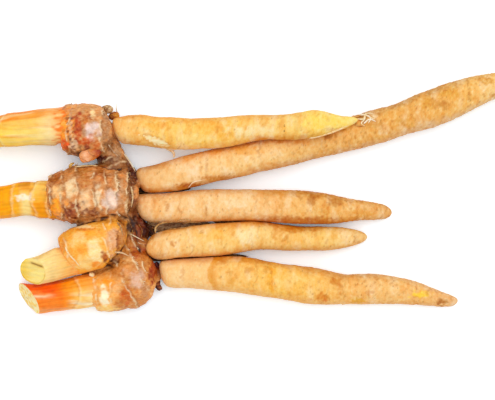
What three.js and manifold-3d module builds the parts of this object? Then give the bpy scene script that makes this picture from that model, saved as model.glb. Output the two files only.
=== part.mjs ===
// A fingerroot cluster lying on a table: one rhizome of four knobs, five finger-like storage roots,
// four shoots cut off short, and four buds.
// Millimetres, +Z up, the table is the plane z = 0. The shoots point to -X and the roots to +X.
// The origin is on the table, under the middle of the cluster's bounding box.
import * as THREE from "three";
import { mergeVertices } from "three/addons/utils/BufferGeometryUtils.js";
import Module from "manifold-3d";

const wasm = await Module();
wasm.setup();

// ---------------------------------------------------------------- driving dimensions
const JOINT_GAP = 0.4; // clearance left where two pieces grew together
const SETTLE = 0.25; // how far a lying piece is pressed flat by the table
const CAP_RINGS = 4; // rings that round off a closed end
const MIDDLE = [4.5, 2.8]; // middle of the whole cluster, in the x and y that the rows are given in
const UP = new THREE.Vector3(0, 0, 1);

// A limb's rows are [x, y, lift, radius]: a point of its centreline seen from above, the height of its
// underside over the table, and its radius there. Each list runs from the rhizome outwards.
const FINGER_ROOTS = {
  finger_root_upper: {
    color: 0xf2c777,
    rows: [
      [-50, 25.4, 4.6, 4.1],
      [-46, 25, 4.4, 4.8],
      [-40, 25.3, 4, 5.6],
      [-34, 24.5, 3.8, 5.4],
      [-30, 24.2, 3.8, 5.7],
      [-22, 23.8, 4, 5.5],
      [-11, 24.2, 4.9, 5.5],
      [-5, 25.1, 5.4, 5.3],
      [0, 25.7, 6, 4.8],
      [8, 26, 7.8, 4.4],
      [14, 26.1, 9, 4.5],
      [18, 26.5, 9.7, 4.8],
      [23.5, 27.1, 10.3, 5.1],
      [29, 27.3, 10.6, 3.3],
      [34, 27.7, 11.1, 2.1],
      [38.5, 28.9, 11, 0.8],
    ],
    roundStart: 2.5,
    roundEnd: 0.8,
    steps: 22,
  },
  finger_root_long: {
    color: 0xdda35f,
    rows: [
      [-41.4, 6.8, 2.2, 4],
      [-39, 7, 1.9, 4.4],
      [-36, 7.4, 1.5, 4.7],
      [-32, 7.9, 1, 5.2],
      [-28, 8.8, 0.5, 5.7],
      [-22, 10.4, 0.1, 5.8],
      [-16, 11.8, 0, 5.9],
      [-5.5, 14, 0, 5.8],
      [9, 17.1, 0, 5.9],
      [18, 19.4, 0, 5.8],
      [24, 20.6, 0, 5.6],
      [34, 23.2, 0, 5.8],
      [44, 25.8, 0, 6.2],
      [51, 27.6, 0, 5.8],
      [56, 29.8, 0, 5.9],
      [62, 31.9, 0, 6.5],
      [68, 33.7, 0, 6.7],
      [75, 36.7, 0.1, 6.1],
      [83, 39.8, 0.7, 5.3],
      [90, 41.8, 1.4, 4.3],
      [98, 43.4, 2.3, 3.1],
      [104.5, 44.3, 3.1, 2.2],
      [108.7, 44.5, 3.6, 1.3],
    ],
    roundStart: 2.5,
    roundEnd: 1.2,
    steps: 30,
  },
  finger_root_middle: {
    color: 0xe3ad69,
    rows: [
      [-42.2, -3.2, 1.2, 4.1],
      [-39.5, -2.7, 1, 5],
      [-36, -2.8, 0.7, 5.4],
      [-31, -2.9, 0.4, 5.4],
      [-26, -2.6, 0.1, 5.6],
      [-20, -2.3, 0, 5.8],
      [-12, -1.8, 0, 5.8],
      [0, -1.9, 0, 5.7],
      [10, -2.2, 0, 5.9],
      [17, -2.5, 0, 6.1],
      [23, -2.9, 0, 5.8],
      [29, -3.3, 0, 5.4],
      [34, -3.5, 0.4, 4.5],
      [39, -3.7, 0.8, 3.8],
      [44, -3.9, 1.2, 3.4],
      [48, -4.3, 1.4, 2.7],
      [51.3, -4.6, 1.6, 1.9],
    ],
    roundStart: 3,
    roundEnd: 2,
    steps: 20,
  },
  finger_root_small: {
    color: 0xeebb73,
    rows: [
      [-37.6, -17.2, 3.6, 3.7],
      [-35, -17, 3.3, 4.6],
      [-32, -16.6, 2.8, 5.3],
      [-28.5, -15.8, 2.3, 5.3],
      [-25, -15.4, 1.8, 5.3],
      [-18, -14.7, 1, 5.7],
      [-10, -14.1, 0.5, 5.7],
      [-5, -13.5, 0.2, 5.6],
      [0, -12.9, 0.1, 5.3],
      [6, -12.9, 0, 5],
      [11, -13.5, 0, 4.7],
      [18, -14, 0, 4.4],
      [25, -13.9, 0.1, 4.3],
      [32, -13.8, 0.4, 4],
      [36, -13.6, 0.7, 3.2],
      [39.5, -13.4, 1, 2.4],
      [42.4, -13.2, 1.2, 1.5],
    ],
    roundStart: 3,
    roundEnd: 1.2,
    steps: 18,
  },
  finger_root_lower: {
    color: 0xf0bd70,
    rows: [
      [-32.8, -27, 0.9, 4.7],
      [-28.8, -26.6, 0.6, 5.2],
      [-22, -26.5, 0.3, 5.3],
      [-16, -26.6, 0.2, 5.7],
      [-8, -26.6, 0, 6.4],
      [0, -27.4, 0, 6.6],
      [7, -28.6, 0, 6.4],
      [14, -29.7, 0, 6.4],
      [21, -30.8, 0, 6.7],
      [26, -31.3, 0, 6.4],
      [30, -31.9, 0, 5.7],
      [34.5, -32.2, 0, 5.2],
      [42, -32, 0, 5.5],
      [50, -32.4, 0, 5.1],
      [58, -33.3, 0.2, 4.4],
      [65, -34.9, 0.6, 3.4],
      [71, -36.3, 1.2, 2.4],
      [75.2, -37, 1.6, 1.8],
    ],
    roundStart: 1.5,
    roundEnd: 1.5,
    steps: 25,
  },
};

// The rhizome's knobs: short ringed limbs, a little lower than they are wide.
const KNOB_HEIGHT = 0.92; // a knob's height over its width
const KNOBS = {
  upper: {
    rows: [
      [-49.4, 24.4, 3.6, 4],
      [-50.8, 24.2, 1.8, 6.5],
      [-53, 24.1, 0.6, 8.7],
      [-56, 24.4, 0, 10],
      [-59.5, 24.9, 0, 10.1],
      [-62.6, 25.3, 0.4, 9.4],
      [-65.5, 25.6, 1.2, 8.5],
      [-67.7, 25.8, 2, 7.7],
    ],
    roundStart: 2.5,
    roundEnd: 1.2,
  },
  main: {
    rows: [
      [-41.3, 1.9, 3.4, 3.2],
      [-42.6, 1.8, 2.1, 5.8],
      [-44.4, 1.9, 0.9, 8.2],
      [-47.5, 2.2, 0.1, 9.8],
      [-51, 2.4, 0, 10.4],
      [-55.5, 2.5, 0, 10.4],
      [-60.5, 2, 0, 10.5],
      [-65, 1.3, 0.2, 10],
      [-67.7, 1.5, 0.6, 9],
      [-70.2, 1.2, 1.2, 8.4],
      [-72.4, 1.1, 2, 7.3],
    ],
    roundStart: 2.5,
    roundEnd: 1.2,
  },
  small: {
    rows: [
      [-44.4, -11.4, 6.2, 3.6],
      [-47, -12.4, 5, 6.2],
      [-50.5, -13.9, 3.9, 8],
      [-54.5, -15.4, 3.2, 9],
      [-58, -16.8, 3, 9.2],
      [-61.5, -18.1, 3.2, 8.7],
      [-64.6, -19.3, 4, 7.8],
      [-66.2, -20.2, 4.9, 6.7],
    ],
    roundStart: 2.5,
    roundEnd: 1.2,
  },
  lower: {
    rows: [
      [-41.8, -14, 2.6, 3.6],
      [-42.1, -16.9, 1.8, 4.9],
      [-42.4, -20.2, 0.9, 6.4],
      [-42.3, -23.6, 0.3, 8.2],
      [-42.1, -27, 0, 8.8],
      [-42.3, -30.6, 0.1, 8.6],
      [-43.2, -33.4, 0.6, 7.4],
      [-44.4, -35.7, 1.5, 5.6],
      [-45.4, -37.5, 2.6, 3.4],
    ],
    roundStart: 2.5,
    roundEnd: 1.5,
  },
  lower_side: {
    rows: [
      [-41, -31, 1.4, 5.2],
      [-44.6, -31.6, 0.6, 7.2],
      [-48.6, -32.2, 0.2, 8],
      [-52.6, -32.9, 0.4, 7.5],
      [-56.3, -33.3, 0.9, 6.9],
    ],
    roundStart: 2,
    roundEnd: 1,
  },
};

// The thinner necks and webs that join the knobs, and the short stubs that the storage roots hang on.
const NECKS = [
  [
    [-54, 23, 2.4, 4.7],
    [-51, 18, 2.2, 5],
    [-49, 13.5, 2, 5.2],
    [-47.9, 8.6, 2, 5.8],
  ],
  [
    [-45.6, -3, 2.2, 4.6],
    [-43, -8.4, 2, 4],
    [-42.2, -12.6, 2, 4.3],
    [-42, -17.5, 2, 4.5],
  ],
  [
    [-43.2, -6.6, 2.2, 3.2],
    [-39.8, -10.4, 2, 3.4],
    [-39.2, -14.8, 2.4, 3],
  ],
  [
    [-47.4, 14.6, 2.6, 2.2],
    [-44.2, 11.6, 2.4, 2.5],
    [-41.8, 8.4, 2.6, 2.2],
  ],
  [
    [-61, -26.6, 3, 2.4],
    [-56, -24.4, 2.6, 3.2],
    [-51, -21.8, 2.6, 3.4],
    [-46, -19.2, 3, 2.6],
  ],
];
const STUB_RADIUS = 2.6;
const STUBS = {
  // from, to: [x, y, height of the stub's middle]
  finger_root_upper: [[-54.0, 24.6, 8.6], [-47.6, 25.2, 8.6]],
  finger_root_long: [[-44.6, 5.6, 6.4], [-39.0, 6.9, 6.3]],
  finger_root_middle: [[-45.0, -2.2, 6.0], [-39.8, -2.9, 5.8]],
  finger_root_small: [[-42.0, -15.6, 7.0], [-36.0, -16.9, 7.6]],
  finger_root_lower: [[-38.4, -26.8, 6.0], [-31.8, -27.0, 5.6]],
};

// Shoots: bundles of leaf sheaths. Each is sliced off by a blade whose face looks along `facing`.
const SHOOTS = {
  shoot_upper: {
    color: 0xf3b765,
    rows: [
      [-64.8, 26.2, 2.4, 6.9],
      [-68.4, 26.3, 2.9, 6.7],
      [-73.8, 26.1, 3.6, 6.3],
      [-79.2, 25.7, 4, 5.9],
      [-84.6, 25.2, 3.9, 5.8],
      [-90, 24.5, 3.9, 5.5],
      [-95.4, 23.8, 3.8, 5.3],
      [-100.8, 23.2, 3.6, 5.2],
    ],
    cut: [-98.6, 23.4, 8.0],
    facing: [-1, 0.1, 0.22],
  },
  shoot_main: {
    color: 0xe89a2c,
    rows: [
      [-68.4, 0.6, 1.6, 7.2],
      [-72, 0.3, 2, 6.7],
      [-75.6, 0.2, 2.6, 6.5],
      [-79.2, 0.7, 3, 6.1],
      [-82.8, 0.5, 3, 5.9],
      [-86.4, -0.4, 3, 5.7],
      [-90, -0.9, 3, 5.5],
      [-94.3, -1.5, 2.7, 5.5],
      [-99.4, -2.2, 2.4, 5.4],
    ],
    cut: [-97.0, -1.9, 8.0],
    facing: [-1, -0.2, 0.15],
  },
  shoot_small: {
    color: 0xf2dc92,
    rows: [
      [-62.6, -20.4, 4.8, 6.2],
      [-66, -21.7, 5.3, 6],
      [-69, -22.9, 5.9, 5.5],
      [-72, -24, 6.5, 5.2],
      [-75.5, -25.1, 6.9, 4.9],
      [-79, -25.8, 7, 4.8],
      [-83, -26.3, 7.1, 4.8],
      [-87, -26.9, 7.2, 4.8],
    ],
    cut: [-77.8, -25.4, 11.7],
    facing: [-0.66, -0.27, 0.7],
  },
  shoot_lower: {
    color: 0xee7a35,
    rows: [
      [-52, -32.6, 1, 6.2],
      [-57, -32.7, 1, 6.2],
      [-61, -33.1, 1.2, 5.9],
      [-65, -33.8, 1.3, 5.6],
      [-68.5, -34.3, 1.2, 5.5],
      [-72, -34.9, 1.1, 5.4],
      [-76, -35.5, 1, 5.3],
      [-80, -36, 0.9, 5.3],
      [-84, -36.5, 0.9, 5.4],
      [-88, -37, 0.8, 5.4],
    ],
    cut: [-79.3, -35.8, 6.2],
    facing: [-0.8, -0.42, 0.43],
  },
};

// Buds and rootlets: small closed limbs that grow out of the knobs and the storage roots.
const SPROUTS = {
  bud_red: {
    color: 0xc8703c,
    rows: [
      [-60.1, 15.3, 12.2, 2],
      [-58.3, 16.2, 12, 2.4],
      [-56.2, 17.3, 12.2, 2.5],
      [-53.6, 18.5, 12.8, 1.8],
    ],
  },
  bud_edge_near: {
    color: 0xc9a070,
    rows: [
      [-54.4, 32.9, 8.2, 1.2],
      [-51.4, 32.4, 8.2, 1.5],
      [-49.2, 31.9, 8.4, 1.1],
    ],
  },
  bud_edge_far: {
    color: 0xb8813e,
    rows: [
      [-51.2, 29.2, 8.4, 1.1],
      [-48.8, 30.4, 8.4, 1.2],
      [-47, 31, 8.6, 0.9],
    ],
  },
  bud_pale: {
    color: 0xf3dca4,
    rows: [
      [-56.9, -23.2, 10.4, 1.2],
      [-56.9, -25.2, 10, 1.4],
      [-56.8, -27.2, 9.8, 1.1],
    ],
  },
  rootlet_upper: {
    color: 0xf3ddab,
    rows: [
      [-31.7, 19.3, 7.6, 0.4],
      [-30.1, 18.9, 7.3, 0.4],
      [-28.4, 18.2, 6.9, 0.4],
      [-27.4, 17.1, 6.5, 0.4],
      [-27.3, 15.8, 6.2, 0.4],
      [-28.1, 14.8, 6.4, 0.3],
    ],
  },
  rootlet_middle: {
    color: 0xc79a5c,
    rows: [
      [-34.4, -12.4, 8.6, 0.4],
      [-34.2, -11.2, 8.9, 0.5],
      [-33.5, -10, 9, 0.5],
      [-32, -9, 8.9, 0.5],
      [-30.2, -8.4, 8.6, 0.4],
      [-28.8, -8.1, 8.2, 0.4],
      [-27.2, -8.1, 7.7, 0.3],
    ],
  },
};

const SPROUT_SHAPE = { roundStart: 0.3, roundEnd: 0.3, steps: 5, sides: 8 };
const SHOOT_SHAPE = { steps: 8, sides: 16 };
const KNOB_SHAPE = { height: KNOB_HEIGHT, steps: 8, sides: 16 };
const NECK_SHAPE = { roundStart: 1.5, roundEnd: 1.5, steps: 6, sides: 12 };
const STUB_SHAPE = { roundStart: 1, roundEnd: 1, steps: 1, sides: 10 };

// ---------------------------------------------------------------- finishes
const RIND_COLOR = 0xa8764a; // brown rind of the rhizome
const RIND_ROUGHNESS = 0.55;
const SKIN_ROUGHNESS = 0.62; // dry thin skin of the storage roots
const SHEATH_ROUGHNESS = 0.45; // moist leaf sheaths
const SPROUT_ROUGHNESS = 0.5;

// ---------------------------------------------------------------- shape helpers

// A closed three.js geometry as a manifold-3d solid.
function solidFrom(geometry) {
  const bare = geometry.clone();
  bare.deleteAttribute("normal");
  bare.deleteAttribute("uv");
  const merged = mergeVertices(bare, 1e-3);
  const corners = merged.index.array;
  const faces = [];
  for (let i = 0; i < corners.length; i += 3) {
    const [a, b, c] = corners.slice(i, i + 3);
    if (a !== b && b !== c && c !== a) faces.push(a, b, c);
  }
  const vertProperties = new Float32Array(merged.attributes.position.array);
  return new wasm.Manifold(
    new wasm.Mesh({ numProp: 3, vertProperties, triVerts: new Uint32Array(faces) }),
  );
}

// A manifold-3d solid as a named three.js mesh with a material of its own.
function meshFrom(solid, name, color, roughness) {
  const made = solid.getMesh();
  const geometry = new THREE.BufferGeometry();
  geometry.setAttribute("position", new THREE.BufferAttribute(made.vertProperties, 3));
  geometry.setIndex(new THREE.BufferAttribute(made.triVerts, 1));
  geometry.computeVertexNormals();
  const material = new THREE.MeshStandardMaterial({ color, roughness, metalness: 0 });
  const mesh = new THREE.Mesh(geometry, material);
  mesh.name = name;
  return mesh;
}

// Distances along a limb where its rings go: crowded in the rounded ends, even between them.
function ringDistances(length, roundStart, roundEnd, steps) {
  const distances = [];
  for (let i = 1; i < CAP_RINGS && roundStart > 0; i++) {
    distances.push(roundStart * (1 - Math.cos((i / CAP_RINGS) * (Math.PI / 2))));
  }
  for (let i = 0; i <= steps; i++) {
    distances.push(roundStart + ((length - roundStart - roundEnd) * i) / steps);
  }
  for (let i = CAP_RINGS - 1; i > 0 && roundEnd > 0; i--) {
    distances.push(length - roundEnd * (1 - Math.cos((i / CAP_RINGS) * (Math.PI / 2))));
  }
  return distances;
}

// Quarter-ellipse factor that shrinks the radius to zero over the last `round` of a limb.
const rounding = (fromEnd, round) =>
  fromEnd >= round ? 1 : Math.sqrt(1 - (1 - fromEnd / round) ** 2);

// A lathe profile moved outwards along its own normals; its two ends stay on the axis.
function grown(profile, grow) {
  return profile.map((point, i) => {
    const before = profile[Math.max(i - 1, 0)];
    const after = profile[Math.min(i + 1, profile.length - 1)];
    if (i === 0) return new THREE.Vector2(0, point.y - grow);
    if (i === profile.length - 1) return new THREE.Vector2(0, point.y + grow);
    const run = after.clone().sub(before).normalize();
    return new THREE.Vector2(point.x + grow * run.y, point.y - grow * run.x);
  });
}

// A limb: a lathe profile bent along the centreline of its rows. `grow` thickens it all over.
function limb({ rows, roundStart = 0, roundEnd = 0, steps = 12, sides = 14, height = 1 }, grow = 0) {
  const middle = ([x, y, lift, r]) => new THREE.Vector3(x, y, lift + r * height - SETTLE);
  const spine = new THREE.CatmullRomCurve3(rows.map(middle), false, "centripetal");
  const girth = new THREE.SplineCurve(rows.map((row, i) => new THREE.Vector2(i, row[3])));
  const length = spine.getLength();

  const profile = [new THREE.Vector2(0, 0)];
  for (const distance of ringDistances(length, roundStart, roundEnd, steps)) {
    const radius = girth.getPoint(spine.getUtoTmapping(distance / length)).y;
    const ends = rounding(distance, roundStart) * rounding(length - distance, roundEnd);
    profile.push(new THREE.Vector2(radius * ends, distance));
  }
  profile.push(new THREE.Vector2(0, length));
  const outline = grow > 0 ? grown(profile, grow) : profile;

  const geometry = new THREE.LatheGeometry(outline, sides);
  const place = geometry.attributes.position;
  for (let i = 0; i < place.count; i++) {
    const share = THREE.MathUtils.clamp(place.getY(i) / length, 0, 1);
    const along = spine.getTangentAt(share);
    const side = along.clone().cross(UP).normalize();
    const lift = side.clone().cross(along);
    const beyond = place.getY(i) - share * length;
    const point = spine
      .getPointAt(share)
      .addScaledVector(along, beyond)
      .addScaledVector(side, place.getX(i))
      .addScaledVector(lift, place.getZ(i) * height);
    place.setXYZ(i, point.x, point.y, point.z);
  }
  return solidFrom(geometry);
}

// A block whose one face passes through `at` and looks back against `facing`: it slices off an end.
function blade(at, facing) {
  const size = 60;
  const direction = new THREE.Vector3(...facing).normalize();
  const block = new THREE.BoxGeometry(size, size, size);
  const turn = new THREE.Quaternion().setFromUnitVectors(UP, direction);
  const middle = new THREE.Vector3(...at).addScaledVector(direction, size / 2);
  block.applyMatrix4(new THREE.Matrix4().compose(middle, turn, new THREE.Vector3(1, 1, 1)));
  return solidFrom(block);
}

// The table top as a block under z = 0, which presses flats on what lies on it.
const table = solidFrom(new THREE.BoxGeometry(400, 400, 40).translate(0, 0, -20));

// ---------------------------------------------------------------- pieces

// A short straight limb between two points, on which a storage root hangs.
function stub([from, to], grow) {
  const row = ([x, y, z]) => [x, y, z - STUB_RADIUS + SETTLE, STUB_RADIUS];
  return limb({ rows: [row(from), row(to)], ...STUB_SHAPE }, grow);
}

// The rhizome with its four knobs, its necks and webs and its five stubs in one solid.
function rhizome(grow = 0) {
  let solid = null;
  const join = (piece) => {
    solid = solid ? solid.add(piece) : piece;
  };
  for (const knob of Object.values(KNOBS)) join(limb({ ...knob, ...KNOB_SHAPE }, grow));
  for (const rows of NECKS) join(limb({ rows, ...NECK_SHAPE }, grow));
  for (const ends of Object.values(STUBS)) join(stub(ends, grow));
  return solid.subtract(table);
}

const cluster = new THREE.Group();
cluster.name = "fingerroot_cluster";
cluster.position.set(-MIDDLE[0], -MIDDLE[1], 0);
cluster.add(meshFrom(rhizome(), "rhizome", RIND_COLOR, RIND_ROUGHNESS));

// Every limb is laid clear of what is already there: its solid loses the space that is taken.
let taken = rhizome(JOINT_GAP).add(table);
function lay(name, shape, color, roughness, sliced = (solid) => solid) {
  const solid = sliced(limb(shape).subtract(taken));
  taken = taken.add(limb(shape, JOINT_GAP));
  cluster.add(meshFrom(solid, name, color, roughness));
}

for (const [name, finger] of Object.entries(FINGER_ROOTS)) {
  lay(name, finger, finger.color, SKIN_ROUGHNESS);
}
for (const [name, { rows, cut, facing, color }] of Object.entries(SHOOTS)) {
  const sliced = (solid) => solid.subtract(blade(cut, facing));
  lay(name, { rows, ...SHOOT_SHAPE }, color, SHEATH_ROUGHNESS, sliced);
}
for (const [name, { rows, color }] of Object.entries(SPROUTS)) {
  lay(name, { rows, ...SPROUT_SHAPE }, color, SPROUT_ROUGHNESS);
}

export default cluster;
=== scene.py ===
# %% [markdown]
# # A fingerroot cluster
#
# Fingerroot is a cousin of ginger. Its rhizome, the swollen underground stem, is a row of ringed
# knobs. Smooth storage roots like fingers hang from one side of it, and leafy shoots, sliced off
# at harvest, stand on the other. Here one cluster lies flat on a white table.
#
# The sizes come from a measured model that is loaded first. It has one plain solid for each organ.
# This lesson reads every organ's shape from it, and dresses the organ in a finer skin.

import bpy
import numpy as np
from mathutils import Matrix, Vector


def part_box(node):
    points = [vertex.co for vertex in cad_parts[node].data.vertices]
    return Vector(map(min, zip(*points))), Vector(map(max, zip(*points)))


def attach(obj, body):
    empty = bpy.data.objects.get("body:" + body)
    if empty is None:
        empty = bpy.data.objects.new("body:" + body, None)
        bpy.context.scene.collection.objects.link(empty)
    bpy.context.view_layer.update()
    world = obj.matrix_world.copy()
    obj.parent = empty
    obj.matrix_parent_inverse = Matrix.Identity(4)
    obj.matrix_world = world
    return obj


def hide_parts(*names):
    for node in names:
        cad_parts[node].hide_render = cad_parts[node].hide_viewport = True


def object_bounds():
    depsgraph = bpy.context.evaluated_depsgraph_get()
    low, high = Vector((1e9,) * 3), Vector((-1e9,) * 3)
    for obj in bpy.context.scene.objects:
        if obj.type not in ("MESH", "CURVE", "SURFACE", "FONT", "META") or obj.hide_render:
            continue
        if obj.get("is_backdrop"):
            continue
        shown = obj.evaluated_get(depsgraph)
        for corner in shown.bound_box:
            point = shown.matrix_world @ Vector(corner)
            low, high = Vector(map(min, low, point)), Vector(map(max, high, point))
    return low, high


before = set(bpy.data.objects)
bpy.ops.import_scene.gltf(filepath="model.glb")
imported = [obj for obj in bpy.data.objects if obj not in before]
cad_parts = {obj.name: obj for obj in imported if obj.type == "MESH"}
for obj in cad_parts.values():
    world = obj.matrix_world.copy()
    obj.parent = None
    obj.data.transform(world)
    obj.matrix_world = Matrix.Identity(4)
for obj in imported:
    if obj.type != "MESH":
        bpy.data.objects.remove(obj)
MM = 0.001  # metres in a millimetre; this lesson thinks in millimetres
model_low, model_high = (np.array(corner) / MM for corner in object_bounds())
# the lowest and the highest corner of each organ's box, in mm
boxes = {name: [np.array(corner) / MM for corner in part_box(name)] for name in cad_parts}
print("organs:", ", ".join(sorted(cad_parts)))
print("size in mm:", np.round(model_high - model_low, 1))


def in_box(name, *shares):
    """The point in mm at these shares of an organ's box."""
    low, high = boxes[name]
    return low + np.array(shares) * (high - low)


def in_scene(name, data):
    """A new object of the scene that carries a mesh, a lamp or a camera."""
    new = bpy.data.objects.new(name, data)
    bpy.context.collection.objects.link(new)
    return new


# %% [markdown]
# ## Camera, table and light
#
# The cluster is seen from straight above through a long lens, so that near and far parts keep
# their true proportions. The view is a little narrower than the cluster: two shoots and the tip
# of the longest root run out of it.
#
# The table is white paper under a bright even sky, with one wide lamp almost straight above for
# a little shape and sheen. The camera sees the paper about a third brighter than it lights the
# roots, as a studio overexposes its backdrop, so that only the deep shadows by the roots stay.

# %% Camera
VIEW_CENTRE = (-5.4, -2.8)  # mm, the middle of the view on the table
VIEW_WIDTH = 178.2  # mm across the view, at the height of the roots' widest outline
OUTLINE_HEIGHT = 7.0  # mm
LENS, SENSOR = 150.0, 36.0

camera_data = bpy.data.cameras.new("overhead_camera")
camera_data.lens = LENS
camera_data.sensor_width = SENSOR
camera_data.clip_start = 0.05  # metres
camera_data.clip_end = 20.0
camera = in_scene("overhead_camera", camera_data)
camera_height = LENS / SENSOR * VIEW_WIDTH + OUTLINE_HEIGHT
camera.location = (VIEW_CENTRE[0] * MM, VIEW_CENTRE[1] * MM, camera_height * MM)
bpy.context.scene.camera = camera
print("camera height in mm:", round(camera_height))


# %% Colours are written as they look on screen, and turned to the linear values that light uses
def linear(hex_colour):
    """Linear red, green, blue: ((c + 0.055) / 1.055) to the power 2.4, or c / 12.92 when dark."""
    c = np.array([int(hex_colour[i : i + 2], 16) for i in (1, 3, 5)]) / 255
    return np.where(c > 0.04045, ((c + 0.055) / 1.055) ** 2.4, c / 12.92)


def rgba(hex_colour):
    return (*linear(hex_colour), 1.0)


SHEEN = 0.02  # the white light that a skin mirrors, on top of its own colour


def pigment(hex_colour):
    """The paint that looks like a colour once the skin's white sheen lies over it."""
    return np.clip(linear(hex_colour) - SHEEN, 0.002, 1)


def node_tree(owner):
    """The emptied node tree of a material or a world, and a function that adds a node to it.

    A setting goes to the node's input of that name, or else to the node itself.
    """
    owner.use_nodes = True
    tree = owner.node_tree
    tree.nodes.clear()

    def add(kind, **settings):
        node = tree.nodes.new(kind)
        for name, value in settings.items():
            if name in node.inputs.keys():
                node.inputs[name].default_value = value
            else:
                setattr(node, name, value)
        return node

    return tree, add


def seen_as(tree, add, shade, to_camera):
    """Gives rays of light one shader, and the camera's own rays another."""
    ray = add("ShaderNodeLightPath")
    choice = add("ShaderNodeMixShader")
    tree.links.new(ray.outputs["Is Camera Ray"], choice.inputs[0])
    tree.links.new(shade.outputs[0], choice.inputs[1])
    tree.links.new(to_camera.outputs[0], choice.inputs[2])
    return choice.outputs[0]


# %% Table
TABLE_HALF = 1.6  # metres
TABLE_DROP = 0.00005  # metres the table lies under the cluster, so that no faces coincide
table_mesh = bpy.data.meshes.new("table")
corners = np.array([(-1, -1), (1, -1), (1, 1), (-1, 1)]) * TABLE_HALF
table_mesh.from_pydata([(x, y, -TABLE_DROP) for x, y in corners], [], [(0, 1, 2, 3)])
table = in_scene("table", table_mesh)
table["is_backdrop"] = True

paper = bpy.data.materials.new("white_table")
tree, add = node_tree(paper)
surface = add("ShaderNodeBsdfDiffuse", Color=rgba("#f3f4f5"))
overexposed = add("ShaderNodeBsdfDiffuse", Color=(0.23, 0.30, 0.35, 1))
glow = add("ShaderNodeEmission", Color=(0.75, 1.0, 1.2, 1), Strength=0.11)
brighter, both = add("ShaderNodeAddShader"), add("ShaderNodeAddShader")
output = add("ShaderNodeOutputMaterial")
tree.links.new(overexposed.outputs[0], brighter.inputs[0])
tree.links.new(glow.outputs[0], brighter.inputs[1])
tree.links.new(surface.outputs[0], both.inputs[0])
tree.links.new(brighter.outputs[0], both.inputs[1])
tree.links.new(seen_as(tree, add, surface, both), output.inputs["Surface"])
table_mesh.materials.append(paper)

# %% Light
SKY = 0.82  # brightness of the even sky on the object
KEY = 0.9  # strength of the wide lamp
KEY_SPREAD = 50  # degrees of sky that the lamp fills
KEY_FROM = (0.08, 0.30, 0.95)  # the way to the lamp: a little up the view, and over the table

world = bpy.data.worlds.new("studio")
bpy.context.scene.world = world
tree, add = node_tree(world)
sky_light = add("ShaderNodeBackground", Color=(1, 1, 1, 1), Strength=SKY)
sky_seen = add("ShaderNodeBackground", Color=(1, 1, 1, 1), Strength=1.0)
output = add("ShaderNodeOutputWorld")
tree.links.new(seen_as(tree, add, sky_light, sky_seen), output.inputs["Surface"])

sun_data = bpy.data.lights.new("window", "SUN")
sun_data.energy = KEY
sun_data.angle = np.radians(KEY_SPREAD)
sun = in_scene("window", sun_data)
sun.rotation_euler = Vector(KEY_FROM).to_track_quat("Z", "Y").to_euler()
bpy.context.scene.view_settings.view_transform = "Standard"

# %% [markdown]
# ## Reading an organ's shape
#
# The measured model is a set of loose triangles, so the first step is to merge the points that
# lie on each other. A root or a shoot runs along X, so planes across X cut it into slices. The
# widest and highest places of each slice say where its middle is and how thick it is there. Four
# curves along the organ hold all that: middle Y, middle Z, half width and half height.
#
# Near a rounded end the half width grows as a square root, which is steep. Its square grows
# evenly instead, so the squares are what is smoothed and read between the slices.

# %% The merged organ and its slices
SLICE = 0.25  # mm between slices
FLAT_SIDES = 0.975  # the plain solids have flat sides that pass just inside the true width
THIN = 2.5  # mm of half width under which an organ's relief fades


def vectors(items, key):
    """A row of x, y and z for each of a mesh's items."""
    values = np.empty(len(items) * 3, np.float32)
    items.foreach_get(key, values)
    return values.reshape(-1, 3).astype(float)


def organ(name):
    """An organ's points in mm, each once, and its triangles as rows of three point numbers."""
    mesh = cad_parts[name].data
    corner = np.empty(len(mesh.loops), np.int32)
    mesh.loops.foreach_get("vertex_index", corner)
    place = np.round(vectors(mesh.vertices, "co") / MM, 3)
    points, number = np.unique(place, axis=0, return_inverse=True)
    return points, number.ravel()[corner].reshape(-1, 3)


def slices(points, triangles, x):
    """Least and greatest Y and Z where the planes x cut the organ's edges.

    The edge from a to b meets a plane at a + (b - a) * (x - a_x) / (b_x - a_x).
    """
    edges = np.sort(np.concatenate([triangles[:, [0, 1]], triangles[:, [1, 2]], triangles[:, [2, 0]]]))
    a, b = (points[ends] for ends in np.unique(edges, axis=0).T)
    run = np.where(b[:, 0] == a[:, 0], 1e-9, b[:, 0] - a[:, 0])
    share = (x[:, None] - a[:, 0]) / run
    met = a[:, 1:].T[:, None] + (b - a)[:, 1:].T[:, None] * share
    outside = (share < 0) | (share > 1)
    return np.where(outside, np.inf, met).min(axis=2), np.where(outside, -np.inf, met).max(axis=2)


def smoothed(values, reach):
    """A running mean weighed by a bell curve `reach` samples wide.

    Past the ends the values are carried on by turning them about the end value.
    """
    bell = np.exp(-0.5 * (np.arange(-3 * reach, 3 * reach + 1) / reach) ** 2)
    padded = np.pad(values, 3 * reach, mode="reflect", reflect_type="odd")
    return np.convolve(padded, bell / bell.sum(), mode="valid")


def spindle(name, reach=7):
    """An organ that runs along X as curves: x, middle y and z, and squared half width and height."""
    points, triangles = organ(name)
    low, high = points[:, 0].min(), points[:, 0].max()
    x = np.linspace(low + 1e-3, high - 1e-3, int((high - low) / SLICE))
    least, most = slices(points, triangles, x)
    middle = [smoothed(curve, reach) for curve in (least + most) / 2]
    half = (most - least) / 2 / np.array([[FLAT_SIDES], [1.0]])
    square = [np.maximum(smoothed(curve**2, reach), 0) for curve in half]
    return dict(x=x, y=middle[0], z=middle[1], width2=square[0], height2=square[1])


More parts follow.
